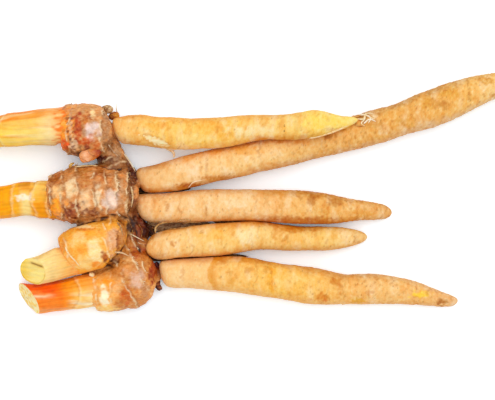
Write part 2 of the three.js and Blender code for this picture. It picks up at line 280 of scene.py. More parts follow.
def on_spindle(sp, x, angle, relief=0.0):
    """The point (x, y + (w + relief) cos a, z + (h + relief) sin a); relief fades at the ends."""
    y, z = np.interp(x, sp["x"], sp["y"]), np.interp(x, sp["x"], sp["z"])
    w = np.sqrt(np.interp(x, sp["x"], sp["width2"]))
    h = np.sqrt(np.interp(x, sp["x"], sp["height2"]))
    relief = relief * np.clip(w / THIN, 0, 1)
    y, z = y + (w + relief) * np.cos(angle), z + (h + relief) * np.sin(angle)
    return np.stack([x + 0 * w, y, z], axis=-1)


def on_root(sp, along, across, lift=0.0):
    """The point on top of a spindle at a share along it and a share across it, -1 to 1."""
    x = sp["x"][0] + np.asarray(along, float) * (sp["x"][-1] - sp["x"][0])
    return on_spindle(sp, x, np.arccos(np.clip(across, -1, 1)), lift)


ROOTS = ("upper", "long", "middle", "small", "lower")
spindles = {name: spindle("finger_root_" + name) for name in ROOTS}
for name, sp in spindles.items():
    print(name, "root:", round(sp["x"][-1] - sp["x"][0]), "mm long,",
          round(2 * float(np.sqrt(sp["width2"].max())), 1), "mm at its widest")

# %% [markdown]
# ## Wrinkles, spots and stains
#
# Skin is never even. Small tools make it uneven in ways that can be placed one by one. `ripple` is
# smooth random waviness, worked out in space, so that it has no seam around a root. `dots` marks
# many small round spots, and `stain` is a soft-edged patch on the top view.


# %% Tools for unevenness
def ripple(points, size, seed, waves=26):
    """Random waviness of about -2 to 2: the scaled sum of cosines in random directions.

    Each cosine has a wavelength near `size` mm; the seed fixes the directions and phases.
    """
    rng = np.random.default_rng(seed)
    direction = rng.normal(size=(waves, 3))
    direction /= np.linalg.norm(direction, axis=1, keepdims=True)
    pace = 2 * np.pi / size * rng.uniform(0.6, 1.5, (waves, 1))
    phase = rng.uniform(0, 2 * np.pi, waves)
    return np.cos(points @ (direction * pace).T + phase).sum(axis=-1) / np.sqrt(waves / 2)


def rough(points, size, seed, octaves=3):
    """Ripples of halving size and weight on top of each other."""
    layers = [ripple(points, size / 2**k, seed + k) / 2**k for k in range(octaves)]
    return np.sum(layers, axis=0) / 1.5


def ease(value, low, high):
    """0 below low, 1 above high, and an S-shaped climb 3t^2 - 2t^3 between them."""
    t = np.clip((value - low) / (high - low), 0, 1)
    return t * t * (3 - 2 * t)


def bell(distance, width):
    """A smooth hump: exp(-(distance / width)^2)."""
    return np.exp(-np.minimum((distance / width) ** 2, 40))


def dots(points, spots, size, stretch=(1, 1, 1)):
    """1 at each spot, falling off as a bell of its size; stretch widens the bell along an axis."""
    total = np.zeros(points.shape[:-1])
    for spot, width in zip(np.atleast_2d(spots), np.broadcast_to(size, len(spots))):
        far = np.linalg.norm((points - spot) / np.array(stretch), axis=-1)
        total = np.maximum(total, bell(far, width))
    return total


FADE_FROM, FADE_TO = 0.45, 1.35  # shares of a stain's half size where it pales and is gone


def stain(points, x, y, half_x, half_y, ragged=0.3, seed=1):
    """A patch on the top view: 1 inside an ellipse, 0 outside it, with a ragged soft edge."""
    far = np.hypot((points[..., 0] - x) / half_x, (points[..., 1] - y) / half_y)
    far = far + ragged * ripple(points, min(half_x, half_y) * 1.6, seed)
    far = far + 0.3 * ragged * ripple(points, 1.2, seed)
    return 1 - ease(far, FADE_FROM, FADE_TO)


def paint(colour, hex_colour, mask):
    """Moves the colour towards another one where the mask is 1."""
    return colour + (pigment(hex_colour) - colour) * np.clip(mask, 0, 1)[..., None]


def bands(place, stops):
    """A colour that changes with a place through (place, colour) stops."""
    places = [stop[0] for stop in stops]
    colours = np.array([pigment(stop[1]) for stop in stops])
    return np.stack([np.interp(place, places, colours[:, k]) for k in range(3)], axis=-1)


# %% [markdown]
# ## From points to a piece
#
# A skin is a grid of points, rings along the organ and spokes around it, closed at both ends by a
# single point. Every point also carries two notes for the materials: `tint`, its colour, and
# `grain`, its place along and around the organ, for fibres that follow it.


# %% Build a mesh
def full_turn(spokes):
    """The spokes' angles, from +Y by way of +Z."""
    return np.linspace(0, 2 * np.pi, spokes, endpoint=False)


def swept(places, spokes):
    """The place and the angle of every point of a grid with a ring at each place."""
    return np.meshgrid(places, full_turn(spokes), indexing="ij")


def closed(grid, ends):
    """The rows of a grid in one list, and after them the rows of its two end points."""
    return np.concatenate([grid.reshape(-1, 3), ends])


def grid_faces(rings, spokes):
    """Quads of a grid that is closed around, then two fans of triangles to the two end points.

    The grid runs from low X to high X, and the spokes turn from +Y to +Z, so faces look outwards.
    """
    i = np.arange(rings - 1)[:, None] * spokes
    j = np.arange(spokes)
    k = (j + 1) % spokes
    quads = np.stack([i + j, i + spokes + j, i + spokes + k, i + k], axis=-1).reshape(-1, 4)
    first, last = rings * spokes, rings * spokes + 1
    base = (rings - 1) * spokes
    fan_a = np.stack([np.full(spokes, first), j, k], axis=-1)
    fan_b = np.stack([np.full(spokes, last), base + k, base + j], axis=-1)
    return quads[:, ::-1].tolist() + fan_a[:, ::-1].tolist() + fan_b[:, ::-1].tolist()


def joined(parts):
    """Meshes, each given as its points and its faces, as the points and faces of a single one."""
    points, faces = [], []
    for part_points, part_faces in parts:
        start = sum(len(part) for part in points)
        faces += [[start + corner for corner in face] for face in part_faces]
        points.append(part_points)
    return np.concatenate(points), faces


MARGIN = 0.002  # mm every skin stays inside the measured model's box


def inside_model(points):
    """Keeps points inside the measured model's box, and so above the table."""
    return np.clip(points, model_low + MARGIN, model_high - MARGIN)


def make_piece(name, points, faces, tint, grain, material, stands_for=()):
    """A Blender object from points in mm, with its notes, its finish and what it stands for."""
    mesh = bpy.data.meshes.new(name)
    mesh.from_pydata((inside_model(points) * MM).tolist(), [], faces)
    mesh.update()
    colours = np.concatenate([np.clip(tint, 0, 1), np.ones((len(points), 1))], axis=1)
    note = mesh.attributes.new("tint", "FLOAT_COLOR", "POINT")
    note.data.foreach_set("color", colours.astype(np.float32).ravel())
    note = mesh.attributes.new("grain", "FLOAT_VECTOR", "POINT")
    note.data.foreach_set("vector", grain.astype(np.float32).ravel())
    mesh.shade_smooth()
    mesh.materials.append(material)
    piece = in_scene(name, mesh)
    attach(piece, "root")
    if stands_for:
        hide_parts(*stands_for)
    print(name, "has", len(points), "points and", len(faces), "faces")
    return piece


# %% [markdown]
# ## Finishes
#
# One recipe serves all the skins. It reads the painted `tint`, varies it by a fine mottling and by
# fibres that follow the organ, and gives it a grainy bump. Where thin plant skin is darker it is
# also deeper in hue, so the mottling is a power of the colour instead of a factor. Dry root skin
# is matt, the rhizome's rind shines a little, and the leaf sheaths are moist, so each gets its own
# numbers. A little light travels under the surface of fresh tissue, which softens its shadows.


# %% The recipe for a plant skin
REDDER_SCATTER = (1.0, 0.55, 0.25)  # red light travels farthest under the surface
SCATTER_REACH = 0.0016  # metres
DEEPENING = -3.0  # colour to the power shade^-3: a shade under 1 is darker and deeper


def plant_skin(name, mottle, fibre, bump, gloss, stretch, spot_scale=900.0, soft=0.0, coat=0.0,
               mirror=0.4):
    """mottle and fibre are how much they change the colour, gloss the two limits of roughness.

    stretch squeezes the fibre pattern along and around the organ, soft is the share of light
    that travels under the surface, and coat is a thin clear film. mirror is how strongly the
    bare skin reflects: 0.5 would be plastic, and less is duller.
    """
    material = bpy.data.materials.new(name)
    tree, add = node_tree(material)
    shader = add("ShaderNodeBsdfPrincipled", **{
        "Subsurface Weight": soft, "Subsurface Radius": REDDER_SCATTER,
        "Subsurface Scale": SCATTER_REACH, "Specular IOR Level": mirror,
        "Coat Weight": coat, "Coat Roughness": 0.25,
    })
    output = add("ShaderNodeOutputMaterial")
    tint = add("ShaderNodeAttribute", attribute_name="tint")
    grain = add("ShaderNodeAttribute", attribute_name="grain")
    place = add("ShaderNodeTexCoord")
    spots = add("ShaderNodeTexNoise", Scale=spot_scale, Detail=5.0, Roughness=0.6)
    specks = add("ShaderNodeTexNoise", Scale=3 * spot_scale, Detail=3.0, Roughness=0.7)
    squeeze = add("ShaderNodeMapping", Scale=stretch)
    fibres = add("ShaderNodeTexNoise", Scale=2.2, Detail=4.0, Roughness=0.55)
    link = tree.links.new
    link(place.outputs["Object"], spots.inputs["Vector"])
    link(place.outputs["Object"], specks.inputs["Vector"])
    link(grain.outputs["Vector"], squeeze.inputs["Vector"])
    link(squeeze.outputs[0], fibres.inputs["Vector"])

    def around_one(source, amount):
        """Turns a noise's usual 0.3 to 0.7 into 1 - amount to 1 + amount."""
        scale = add("ShaderNodeMapRange", **{"From Min": 0.3, "From Max": 0.7,
                                             "To Min": 1 - amount, "To Max": 1 + amount})
        link(source.outputs[0], scale.inputs["Value"])
        return scale

    def times(a, b):
        product = add("ShaderNodeMath", operation="MULTIPLY")
        link(a.outputs[0], product.inputs[0])
        link(b.outputs[0], product.inputs[1])
        return product

    shade = times(around_one(spots, mottle), around_one(fibres, fibre))
    shade = times(shade, around_one(specks, mottle * 0.6))
    depth = add("ShaderNodeMath", operation="POWER")
    depth.inputs[1].default_value = DEEPENING
    link(shade.outputs[0], depth.inputs[0])
    mottled = add("ShaderNodeGamma")
    link(tint.outputs["Color"], mottled.inputs["Color"])
    link(depth.outputs[0], mottled.inputs["Gamma"])
    link(mottled.outputs[0], shader.inputs["Base Color"])

    shine = add("ShaderNodeMapRange", **{"To Min": gloss[0], "To Max": gloss[1]})
    link(spots.outputs[0], shine.inputs["Value"])
    link(shine.outputs[0], shader.inputs["Roughness"])

    height = add("ShaderNodeMath", operation="ADD")
    link(fibres.outputs[0], height.inputs[0])
    link(specks.outputs[0], height.inputs[1])
    relief = add("ShaderNodeBump", Strength=bump, Distance=0.0002)
    link(height.outputs[0], relief.inputs["Height"])
    link(relief.outputs[0], shader.inputs["Normal"])
    link(shader.outputs[0], output.inputs["Surface"])
    return material


root_skin = plant_skin("root_skin", 0.05, 0.04, 0.45, (0.5, 0.72), (0.8, 0.35, 0.35), 700.0, soft=0.15)
rind = plant_skin("rhizome_rind", 0.06, 0.07, 0.6, (0.24, 0.46), (0.35, 0.8, 0.8), coat=0.05,
                  mirror=0.3)
leaf_sheath = plant_skin("leaf_sheath", 0.025, 0.04, 0.25, (0.3, 0.46), (0.05, 1.1, 1.1), soft=0.1,
                         mirror=0.12)
bud_skin = plant_skin("bud_skin", 0.05, 0.06, 0.3, (0.2, 0.34), (0.5, 1, 1), coat=0.2)
pale_flesh = plant_skin("pale_flesh", 0.05, 0.06, 0.5, (0.35, 0.6), (1, 1, 1), soft=0.15)
dry_scale = plant_skin("dry_scale", 0.14, 0.16, 0.6, (0.5, 0.8), (0.3, 1, 1))
print("finishes:", ", ".join(material.name for material in bpy.data.materials))

# %% [markdown]
# ## The finger roots
#
# A storage root is a long spindle. Its skin has broad lumps, thin creases that run part of the
# way around it, corky flecks, small dark spots, and stains. All of it is a function of two
# parameters, the place along the root and the angle around it, so a whole root is a single swept
# grid. Towards its two edges, as seen from above, the skin turns a deeper orange: partly its own
# colour, and partly painted shade where the sides turn from the light and where roots touch.

# %% How a root is dressed
SPOKES = 104
RING_SPACING = 0.36  # mm
END_RINGS = 10  # rings crowded into each rounded end
END_REACH = 2.5  # mm
RINGLET, FLECK, SPOT, CREASE = 0.015, 0.035, 0.02, 0.09  # mm of relief at their strongest
WARMER = (1.02, 1.02, 1.1)  # powers of red, green and blue that warm a root's mixed paints


def ring_places(low, high, spacing):
    """Places along an organ: even between its ends, and crowding as 1 - cos towards them."""
    crowd = END_REACH * (1 - np.cos(np.linspace(0, np.pi / 2, END_RINGS + 1)))[1:-1]
    even = np.linspace(low + END_REACH, high - END_REACH, int((high - low) / spacing))
    return np.concatenate([low + crowd, even, high - crowd[::-1]])


def part_rings(bare, x, angle, count, rng):
    """Thin creases part of the way around: depth * bell(x - place) * bell(turn from its middle)."""
    waver = 0.45 * ripple(bare, 5, 7) + 0.15 * ripple(bare, 1.6, 8)
    line = np.zeros(x.shape)
    for _ in range(count):
        place, side = rng.uniform(x.min() + 3, x.max() - 2), rng.uniform(0.2, 2.9)
        depth, reach = rng.uniform(0.3, 1), rng.uniform(0.35, 1.1)
        turn = np.angle(np.exp(1j * (angle - side)))
        line = np.maximum(line, depth * bell(x - place - waver, 0.25) * bell(turn, reach))
    return line


def dress_root(name, colours, upper_edge_and_shade, lower_edge_and_shade, stains, seed, spots=24, creases=12,
               cork=((0, 1), (1, 1)), lumps=0.12, finish=None):
    """Sweeps one finger root with its relief and its colours, and closes it at both ends.

    colours and the two edge colours are stops along the root, from 0 at the rhizome to 1 at the
    tip, and cork is stops of how corky the skin is. A stain is (share along, share across, half
    length and half width in mm, colour, strength). finish may change relief and tint.
    """
    sp = spindles[name]
    low, high = sp["x"][0], sp["x"][-1]
    x, angle = swept(ring_places(low, high, RING_SPACING), SPOKES)
    bare = on_spindle(sp, x, angle)
    share = (x - low) / (high - low)
    middle = np.interp(x, sp["x"], sp["y"])
    half = np.sqrt(np.interp(x, sp["x"], sp["width2"]))
    grain = np.stack([x - low, half * np.cos(angle), half * np.sin(angle)], axis=-1)

    rng = np.random.default_rng(seed)
    spot_at = on_root(sp, rng.uniform(0.04, 0.96, spots), rng.uniform(-0.95, 0.95, spots))
    spot = dots(bare, spot_at, rng.uniform(0.16, 0.36, spots), (1, 1.6, 1.6))
    crease = part_rings(bare, x, angle, creases, rng)
    corky = np.interp(share, *np.transpose(cork))
    fleck = rough(bare * (1.0, 0.7, 0.7), 1.7, seed + 3)
    ringed = ripple(grain * (1.0, 0.2, 0.2), 1.5, seed + 5)
    relief = lumps * (0.7 * ripple(bare, 17, seed + 1) + 0.3 * ripple(bare, 6, seed + 2))
    relief += RINGLET * ringed + FLECK * corky * fleck + SPOT * spot - CREASE * crease

    tint = bands(share, colours)
    across = np.cos(angle) + 0.06 * ripple(bare, 5, seed + 9) + 0.03 * ripple(bare, 1.5, seed + 10)
    # the edge colours are partly the skin's own and partly painted shade, where the sides turn from the
    # light and where roots touch
    for side, edge in ((1, upper_edge_and_shade), (-1, lower_edge_and_shade)):
        mask = ease(side * across, 0.5, 1.0)
        tint += (bands(share, edge) - tint) * mask[..., None]
    blotch = ripple(grain * (1.0, 0.45, 0.45), 5, seed + 7)
    tint = paint(tint, "#f0a24a", 0.3 * ease(blotch, 0.3, 1.8))
    tint = paint(tint, "#fdedd0", 0.22 * ease(-blotch, 0.4, 1.8))
    for number, (along, side, half_x, half_y, colour, strength) in enumerate(stains):
        at_x, at_y = on_root(sp, along, side)[:2]
        patch = stain(bare, at_x, at_y, half_x, half_y, 0.25, seed + number)
        tint = paint(tint, colour, strength * patch)
    tint = paint(tint, "#c0762e", 0.24 * corky * ease(fleck, 0.4, 1.6))
    light = 0.08 * corky * ease(-fleck, 0.4, 1.6) + 0.02 * ringed + 0.02 * ripple(bare, 2.4, seed + 8)
    tint = paint(tint ** (1 - 1.8 * light)[..., None], "#b4682a", 0.45 * crease)
    tint = paint(tint, "#a8642c", 0.55 * ease(spot, 0.35, 0.9))
    tint = tint**WARMER
    if finish:
        relief, tint = finish(bare, share, (bare[..., 1] - middle) / half.clip(0.5), relief, tint)

    points = on_spindle(sp, x, angle, relief)
    poles = np.array([[sp["x"][k], sp["y"][k], sp["z"][k]] for k in (0, -1)])
    points, tint = closed(points, poles), closed(tint, tint[[0, -1], 0])
    grain = closed(grain, [[0, 0, 0], [high - low, 0, 0]])
    node = "finger_root_" + name
    make_piece(node + "_skin", points, grid_faces(*x.shape), tint, grain, root_skin, [node])


# %% The upper root, pale and yellow, with a peeled patch
def peel(bare, share, across, relief, tint):
    """A leaf of skin is peeled off low on the left: a shallow pale hollow with a thin orange rim."""
    way = (share - 0.125) / 0.11
    wide = 0.27 * np.sqrt(np.clip(4 * way * (1 - way), 0, 1)) - 0.05
    inside = wide - np.abs(across + 0.4 + 0.42 * way) + 0.035 * ripple(bare, 1.4, 61)
    hollow, rim = ease(inside, -0.03, 0.05), bell(inside + 0.04, 0.05) * (np.abs(way - 0.5) < 0.6)
    tint = paint(tint, "#fff0be", hollow * (0.7 + 0.2 * ripple(bare * (0.2, 1, 1), 1.4, 62)))
    tint = paint(tint, "#dd9434", 0.6 * rim)
    return relief - 0.14 * hollow + 0.1 * rim, tint


dress_root(
    "upper",
    [(0, "#f9c078"), (0.08, "#fdc97a"), (0.2, "#fdcc72"), (0.4, "#fdca68"), (0.6, "#fdcb76"),
     (0.78, "#fdd57e"), (0.9, "#ffdd74"), (1, "#fee28c")],
    [(0, "#e59a4c"), (0.2, "#f6aa48"), (0.45, "#f0b058"), (0.65, "#eaa95c"), (0.8, "#f9cf6a"),
     (1, "#fad872")],
    [(0, "#eeb070"), (0.12, "#f2b464"), (0.3, "#fac77c"), (0.5, "#f2b260"), (0.6, "#e08a30"),
     (0.75, "#e09a44"), (0.9, "#f4c65c"), (1, "#f8d060")],
    [(0.19, 0.35, 6, 1.6, "#f9ac3c", 0.6), (0.42, 0.4, 7, 1.8, "#f9ab40", 0.55),
     (0.33, -0.35, 6, 1.8, "#fee094", 0.6), (0.43, 0.2, 1.0, 2.6, "#e39a3c", 0.5),
     (0.47, -0.25, 4, 0.8, "#f6b03c", 0.6), (0.56, -0.25, 8, 2.2, "#fce4b0", 0.7),
     (0.62, 0.5, 1.2, 2.4, "#eaa450", 0.5), (0.69, 0.4, 1.2, 2.4, "#eaa450", 0.45),
     (0.85, 0.1, 6, 2.6, "#ffda6a", 0.8), (0.8, -0.5, 3, 1.2, "#fbc35a", 0.6),
     (0.9, -0.7, 4, 0.6, "#e9b978", 0.7), (0.75, -0.1, 0.8, 4.0, "#f6cf80", 0.5),
     (0.7, 0.05, 0.3, 0.5, "#8a5426", 0.8), (0.7, -0.35, 0.3, 0.4, "#8a5426", 0.8)],
    seed=11, spots=16, creases=9, finish=peel,
)

# %% The long root, corkier and browner in its middle
dress_root(
    "long",
    [(0, "#efb880"), (0.06, "#f9c88c"), (0.16, "#fbcd92"), (0.28, "#fbce8e"), (0.4, "#f5c17a"),
     (0.5, "#f0b66c"), (0.6, "#eeb060"), (0.68, "#efb060"), (0.8, "#f7c070"), (0.88, "#fed492"),
     (0.94, "#ffdca2"), (1, "#f7c680")],
    [(0, "#c98a58"), (0.08, "#eea868"), (0.2, "#eea04c"), (0.3, "#e0882c"), (0.42, "#bd6a0e"),
     (0.5, "#cc8430"), (0.6, "#cf9454"), (0.75, "#cd9450"), (0.85, "#eab468"), (1, "#f0b868")],
    [(0, "#c06a1c"), (0.08, "#c8781e"), (0.18, "#d8944a"), (0.3, "#e8b07a"), (0.45, "#e6aa68"),
     (0.6, "#e2ac78"), (0.75, "#e6b888"), (0.9, "#eabc7e"), (1, "#eab66a")],
    [(0.13, 0.1, 5, 2.4, "#fcd4a6", 0.6), (0.3, 0.05, 5, 2.4, "#fcd29a", 0.5),
     (0.17, 0.0, 0.5, 3.0, "#d69a66", 0.6), (0.26, 0.5, 6, 1.6, "#f3a83e", 0.6),
     (0.37, 0.5, 6, 1.6, "#da821c", 0.65), (0.46, 0.2, 1.6, 1.2, "#b56a22", 0.7),
     (0.5, 0.4, 3, 1.4, "#e29a3a", 0.6), (0.545, 0.75, 2.2, 1.6, "#a86a24", 0.8),
     (0.565, 0.2, 3.5, 1.6, "#d28a30", 0.6), (0.64, -0.2, 2.2, 1.4, "#d9963c", 0.55),
     (0.7, 0.35, 3, 2.2, "#e09a38", 0.7), (0.735, 0.0, 2.4, 1.6, "#cc8434", 0.65),
     (0.755, 0.4, 4, 2.0, "#e6a038", 0.65), (0.8, 0.0, 1.4, 3.0, "#eaa850", 0.5),
     (0.84, 0.5, 3.4, 1.6, "#e0992c", 0.7), (0.9, -0.6, 3, 0.8, "#c98a3c", 0.75),
     # the dark orange stains at 0.13 and 0.2 on the lower edge are painted shade where this root lies
     # against the middle root
     (0.86, -0.7, 1.6, 0.8, "#cf9148", 0.6), (0.13, -0.85, 4, 0.9, "#b45c0c", 0.8),
     (0.2, -0.8, 6, 0.8, "#cc7a1e", 0.7)],
    seed=23, spots=60, creases=16, cork=((0, 0.6), (0.3, 1.1), (0.45, 2.3), (0.85, 2.1), (1, 1)),
    lumps=0.16,
)

# %% The middle root
dress_root(
    "middle",
    [(0, "#efb27c"), (0.08, "#fbc78c"), (0.25, "#fbcd94"), (0.45, "#fbcb90"), (0.55, "#f9c384"),
     (0.62, "#f6be76"), (0.75, "#f1b568"), (0.88, "#f0b874"), (1, "#e8ae6e")],
    [(0, "#c47a3c"), (0.1, "#eab078"), (0.4, "#f0bd88"), (0.55, "#e0a058"), (0.7, "#c98438"),
     (0.85, "#dc9c50"), (1, "#dca060")],
    [(0, "#b0642c"), (0.08, "#efb682"), (0.3, "#e4a868"), (0.45, "#cf7c22"), (0.55, "#bc5f08"),
     (0.68, "#bd640c"), (0.8, "#cc7c22"), (0.92, "#e0a868"), (1, "#e0a868")],
    [(0.08, 0.45, 0.8, 2.2, "#e0924c", 0.6), (0.13, 0.1, 0.8, 1.6, "#cf8038", 0.6),
     (0.39, 0.1, 3.5, 1.8, "#fde2b8", 0.6), (0.28, -0.3, 0.7, 2.4, "#dda062", 0.6),
     (0.51, 0.5, 1.0, 3.0, "#e0a35c", 0.5), (0.57, 0.1, 0.9, 4.4, "#e6a04c", 0.5),
     # the long dark orange stain at 0.66 on the lower edge is painted shade where the small root presses
     # against it
     (0.69, 0.6, 2.4, 2.0, "#c4782a", 0.7), (0.66, -0.75, 11, 1.3, "#c46c0c", 0.7),
     (0.78, 0.5, 3, 1.4, "#c07630", 0.65), (0.74, -0.2, 1.2, 3.4, "#e09238", 0.6),
     (0.88, -0.3, 4, 1.6, "#e49a38", 0.6), (0.83, 0.1, 3, 1.2, "#f6c683", 0.5)],
    seed=37, spots=30, creases=13, cork=((0, 0.7), (0.5, 0.9), (0.7, 1.7), (1, 1.8)),
)

# %% The small root
dress_root(
    "small",
    [(0, "#eeb070"), (0.1, "#fccb8a"), (0.3, "#fdce82"), (0.45, "#fccd7e"), (0.55, "#fad088"),
     (0.66, "#f8c26e"), (0.8, "#fbcd7a"), (0.92, "#fad090"), (1, "#f0c080")],
    [(0, "#a8602a"), (0.1, "#e8a45c"), (0.25, "#f0ac58"), (0.5, "#e69a48"), (0.62, "#d87a18"),
     (0.72, "#d4821a"), (0.85, "#eeb45e"), (1, "#eebc78")],
    [(0, "#c07838"), (0.12, "#f4ba7c"), (0.35, "#f0b066"), (0.5, "#f0b86c"), (0.7, "#f4c078"),
     (1, "#f4c07c")],
    [(0.12, 0.05, 1.4, 1.0, "#d07a30", 0.7), (0.3, 0.3, 4, 2.0, "#fbbb50", 0.6),
     (0.46, 0.0, 3.5, 3.0, "#fde6b4", 0.75), (0.58, 0.3, 0.9, 3.0, "#e8a04a", 0.6),
     (0.34, -0.1, 0.6, 2.0, "#eaa652", 0.5), (0.63, 0.0, 1.4, 1.4, "#d98a34", 0.7),
     # the deep orange stain at 0.655 on the upper edge is painted shade where it meets the middle root
     (0.655, 0.72, 5, 1.2, "#e08c0c", 0.75), (0.84, 0.2, 1.6, 1.8, "#eeae50", 0.6),
     (0.39, 0.4, 0.8, 2.6, "#ea9f44", 0.55), (0.25, 0.55, 1.2, 0.6, "#c98440", 0.5)],
    seed=41, spots=20, creases=11, cork=((0, 0.8), (0.5, 0.9), (1, 1.2)),
)


# %% The lower root, the thickest, with a step in colour where an old skin layer ends
def old_layer(bare, share, across, relief, tint):
    """Up to a wavering line the root keeps an older, paler layer of skin, a hair thicker."""
    line = 0.163 + 0.02 * across**2 + 0.0015 * ripple(bare, 6, 59)
    older = 1 - ease(share, line - 0.001, line + 0.002)
    tint = paint(tint, "#fdd294", 0.5 * older)
    tint = paint(tint, "#e8992e", 0.7 * bell(share - line - 0.013, 0.014) * (1 - older))
    return relief + 0.1 * older, tint


dress_root(
    "lower",
    [(0, "#f4b474"), (0.05, "#fdc984"), (0.2, "#fdc87c"), (0.28, "#fcc470"), (0.42, "#fdc564"),
     (0.5, "#fcc66e"), (0.58, "#f8be6c"), (0.66, "#f6be76"), (0.8, "#f6c27e"), (0.9, "#f2ba76"),
     (1, "#ecb884")],
    [(0, "#b8682c"), (0.06, "#d98a3c"), (0.2, "#c8741a"), (0.3, "#d98a30"), (0.4, "#e2a058"),
     (0.55, "#dfa05c"), (0.68, "#e0a86c"), (0.85, "#e6b078"), (1, "#e6b080")],
    [(0, "#e8a464"), (0.1, "#f2b474"), (0.3, "#f4b86c"), (0.5, "#f2b467"), (0.7, "#f2ba78"),
     (0.85, "#ecaa66"), (1, "#e8a86c")],
    [(0.08, 0.05, 0.8, 2.0, "#cd7c2c", 0.65), (0.16, -0.1, 0.7, 2.0, "#e8a456", 0.4),
     (0.24, 0.1, 1.4, 1.2, "#dc9440", 0.6), (0.24, -0.4, 1.6, 1.6, "#eb9e3e", 0.6),
     (0.375, 0.0, 1.6, 5.4, "#fbac28", 0.7), (0.36, 0.55, 1.6, 1.4, "#e09c40", 0.5),
     (0.3, 0.4, 1.8, 1.4, "#d8924a", 0.5), (0.43, 0.1, 4, 2.6, "#fed48c", 0.55),
     (0.545, -0.55, 2.6, 1.6, "#e2880e", 0.85), (0.585, 0.45, 2.4, 1.8, "#d68218", 0.8),
     (0.6, 0.0, 1.2, 3.6, "#e49c4e", 0.6), (0.66, -0.75, 2.8, 1.0, "#e9a51c", 0.8),
     (0.87, 0.0, 3.4, 1.3, "#ffd23a", 0.8), (0.945, -0.35, 1.8, 1.2, "#b46a1c", 0.85),
     (0.7, -0.2, 1.4, 1.0, "#d2834a", 0.5), (0.78, 0.2, 2.4, 2.0, "#fbcf94", 0.6)],
    seed=53, spots=44, creases=14, cork=((0, 0.7), (0.4, 1.1), (0.6, 1.8), (1, 1.6)), finish=old_layer,
)

# %% [markdown]
# ## The shoots' shapes
#
# A shoot is a bundle of leaf sheaths, rolled one inside the other, and a blade sliced it off. The
# sliced solid tells the blade's plane: its far triangles all look one way. The other end of the
# solid is trimmed where it meets its knob. So the slices are read only where the shoot is whole.
# The curves are then carried on straight, past the blade on one side and into the knob on the
# other, because the real shoot grows out of the knob without a gap.

# %% A shoot's curves
INTO_KNOB, PAST_BLADE = 4.0, 3  # mm a shoot's curves are carried on at its two ends
LOOKS_BACK = 0.6  # least cosine between -X and the way a triangle of the blade's cut looks
ON_BLADE, CLEAR = 0.02, 0.5  # mm from the blade's plane that still lie on it, or lie clear of it


def blade_plane(points, triangles):
    """The middle and the direction of a flat end that looks to -X, weighed by triangle area."""
    a, b, c = (points[triangles[:, k]] for k in range(3))
    across = np.cross(b - a, c - a)
    area = np.linalg.norm(across, axis=1)
    flat = across[:, 0] < -LOOKS_BACK * area
    facing = across[flat].sum(axis=0)
    middle = ((a + b + c)[flat] / 3 * area[flat, None]).sum(axis=0) / area[flat].sum()
    return middle, facing / np.linalg.norm(facing)


def whole_shoot(name, trimmed):
    """The shoot's curves carried on straight both ways, its blade's plane and its knob end.

    trimmed is how many mm of its knob end the solid lacks.
    """
    points, triangles = organ(name)
    middle, facing = blade_plane(points, triangles)
    sp = spindle(name, reach=5)
    on_blade = np.abs((points - middle) @ facing) < ON_BLADE
    end = points[:, 0].max() - trimmed
    x = np.arange(points[:, 0].min() - PAST_BLADE, points[:, 0].max() + INTO_KNOB, SLICE)
    carried = {"x": x}
    # seen from above the cut starts at the widest line, but seen from the side at the highest
    starts = {"y": middle[0] + CLEAR, "width2": middle[0] + CLEAR}
    for key in ("y", "z", "width2", "height2"):
        start = starts.get(key, points[on_blade, 0].max() + CLEAR)
        whole = (sp["x"] > start) & (sp["x"] < end)
        place, curve, straight = sp["x"][whole], sp[key][whole], not key.endswith("2")
        run = min(14, len(curve) - 1)  # slices over which the slope at each end is taken
        first = straight * (curve[run] - curve[0]) / (place[run] - place[0])
        last = straight * (curve[-1] - curve[-1 - run]) / (place[-1] - place[-1 - run])
        beyond = first * np.minimum(x - place[0], 0) + last * np.maximum(x - place[-1], 0)
        carried[key] = np.interp(x, place, curve) + beyond
    return {**carried, "middle": middle, "facing": facing, "knob": points[:, 0].max()}


shoots = {
    "shoot_upper": whole_shoot("shoot_upper", 2.5),
    "shoot_main": whole_shoot("shoot_main", 3.5),
    "shoot_small": whole_shoot("shoot_small", 7.2),
    "shoot_lower": whole_shoot("shoot_lower", 6.0),
}
print({name: round(float(sp["knob"] - sp["middle"][0])) for name, sp in shoots.items()}, "mm long")

# %% [markdown]
# ## Melting a plain solid
#
# The knobs and necks grew as one body, and each shoot stands in a low collar of the same tissue.
# Their skins have to flow into each other. A voxel remesh melts the plain solid and the collars
# into one even net, as fingers melt lumps of clay, and a smoothing pass rounds the joins. Only
# then come the leaf-scar rings, the warts and the wrinkles: they push every point of the net along
# its normal.

# %% Collars, and the melt
COLLAR = 2.4  # mm a collar stands out of its knob
COLLAR_SUNK, COLLAR_CLIMB = 0.45, 0.75  # mm it starts under the shoot's skin, and climbs
COLLAR_RINGS, COLLAR_SPOKES = 24, 60


def collar(sp):
    """A closed stub around a shoot's foot: its radius climbs from under the skin to just above it."""
    x, angle = swept(np.linspace(sp["knob"] - COLLAR, sp["x"][-1], COLLAR_RINGS), COLLAR_SPOKES)
    lift = COLLAR_CLIMB * ease(x, sp["knob"] - COLLAR, sp["knob"] + 1) - COLLAR_SUNK
    ring = on_spindle(sp, x, angle, lift)
    poles = [ring[0].mean(axis=0), ring[-1].mean(axis=0)]
    return closed(ring, poles), grid_faces(*x.shape)


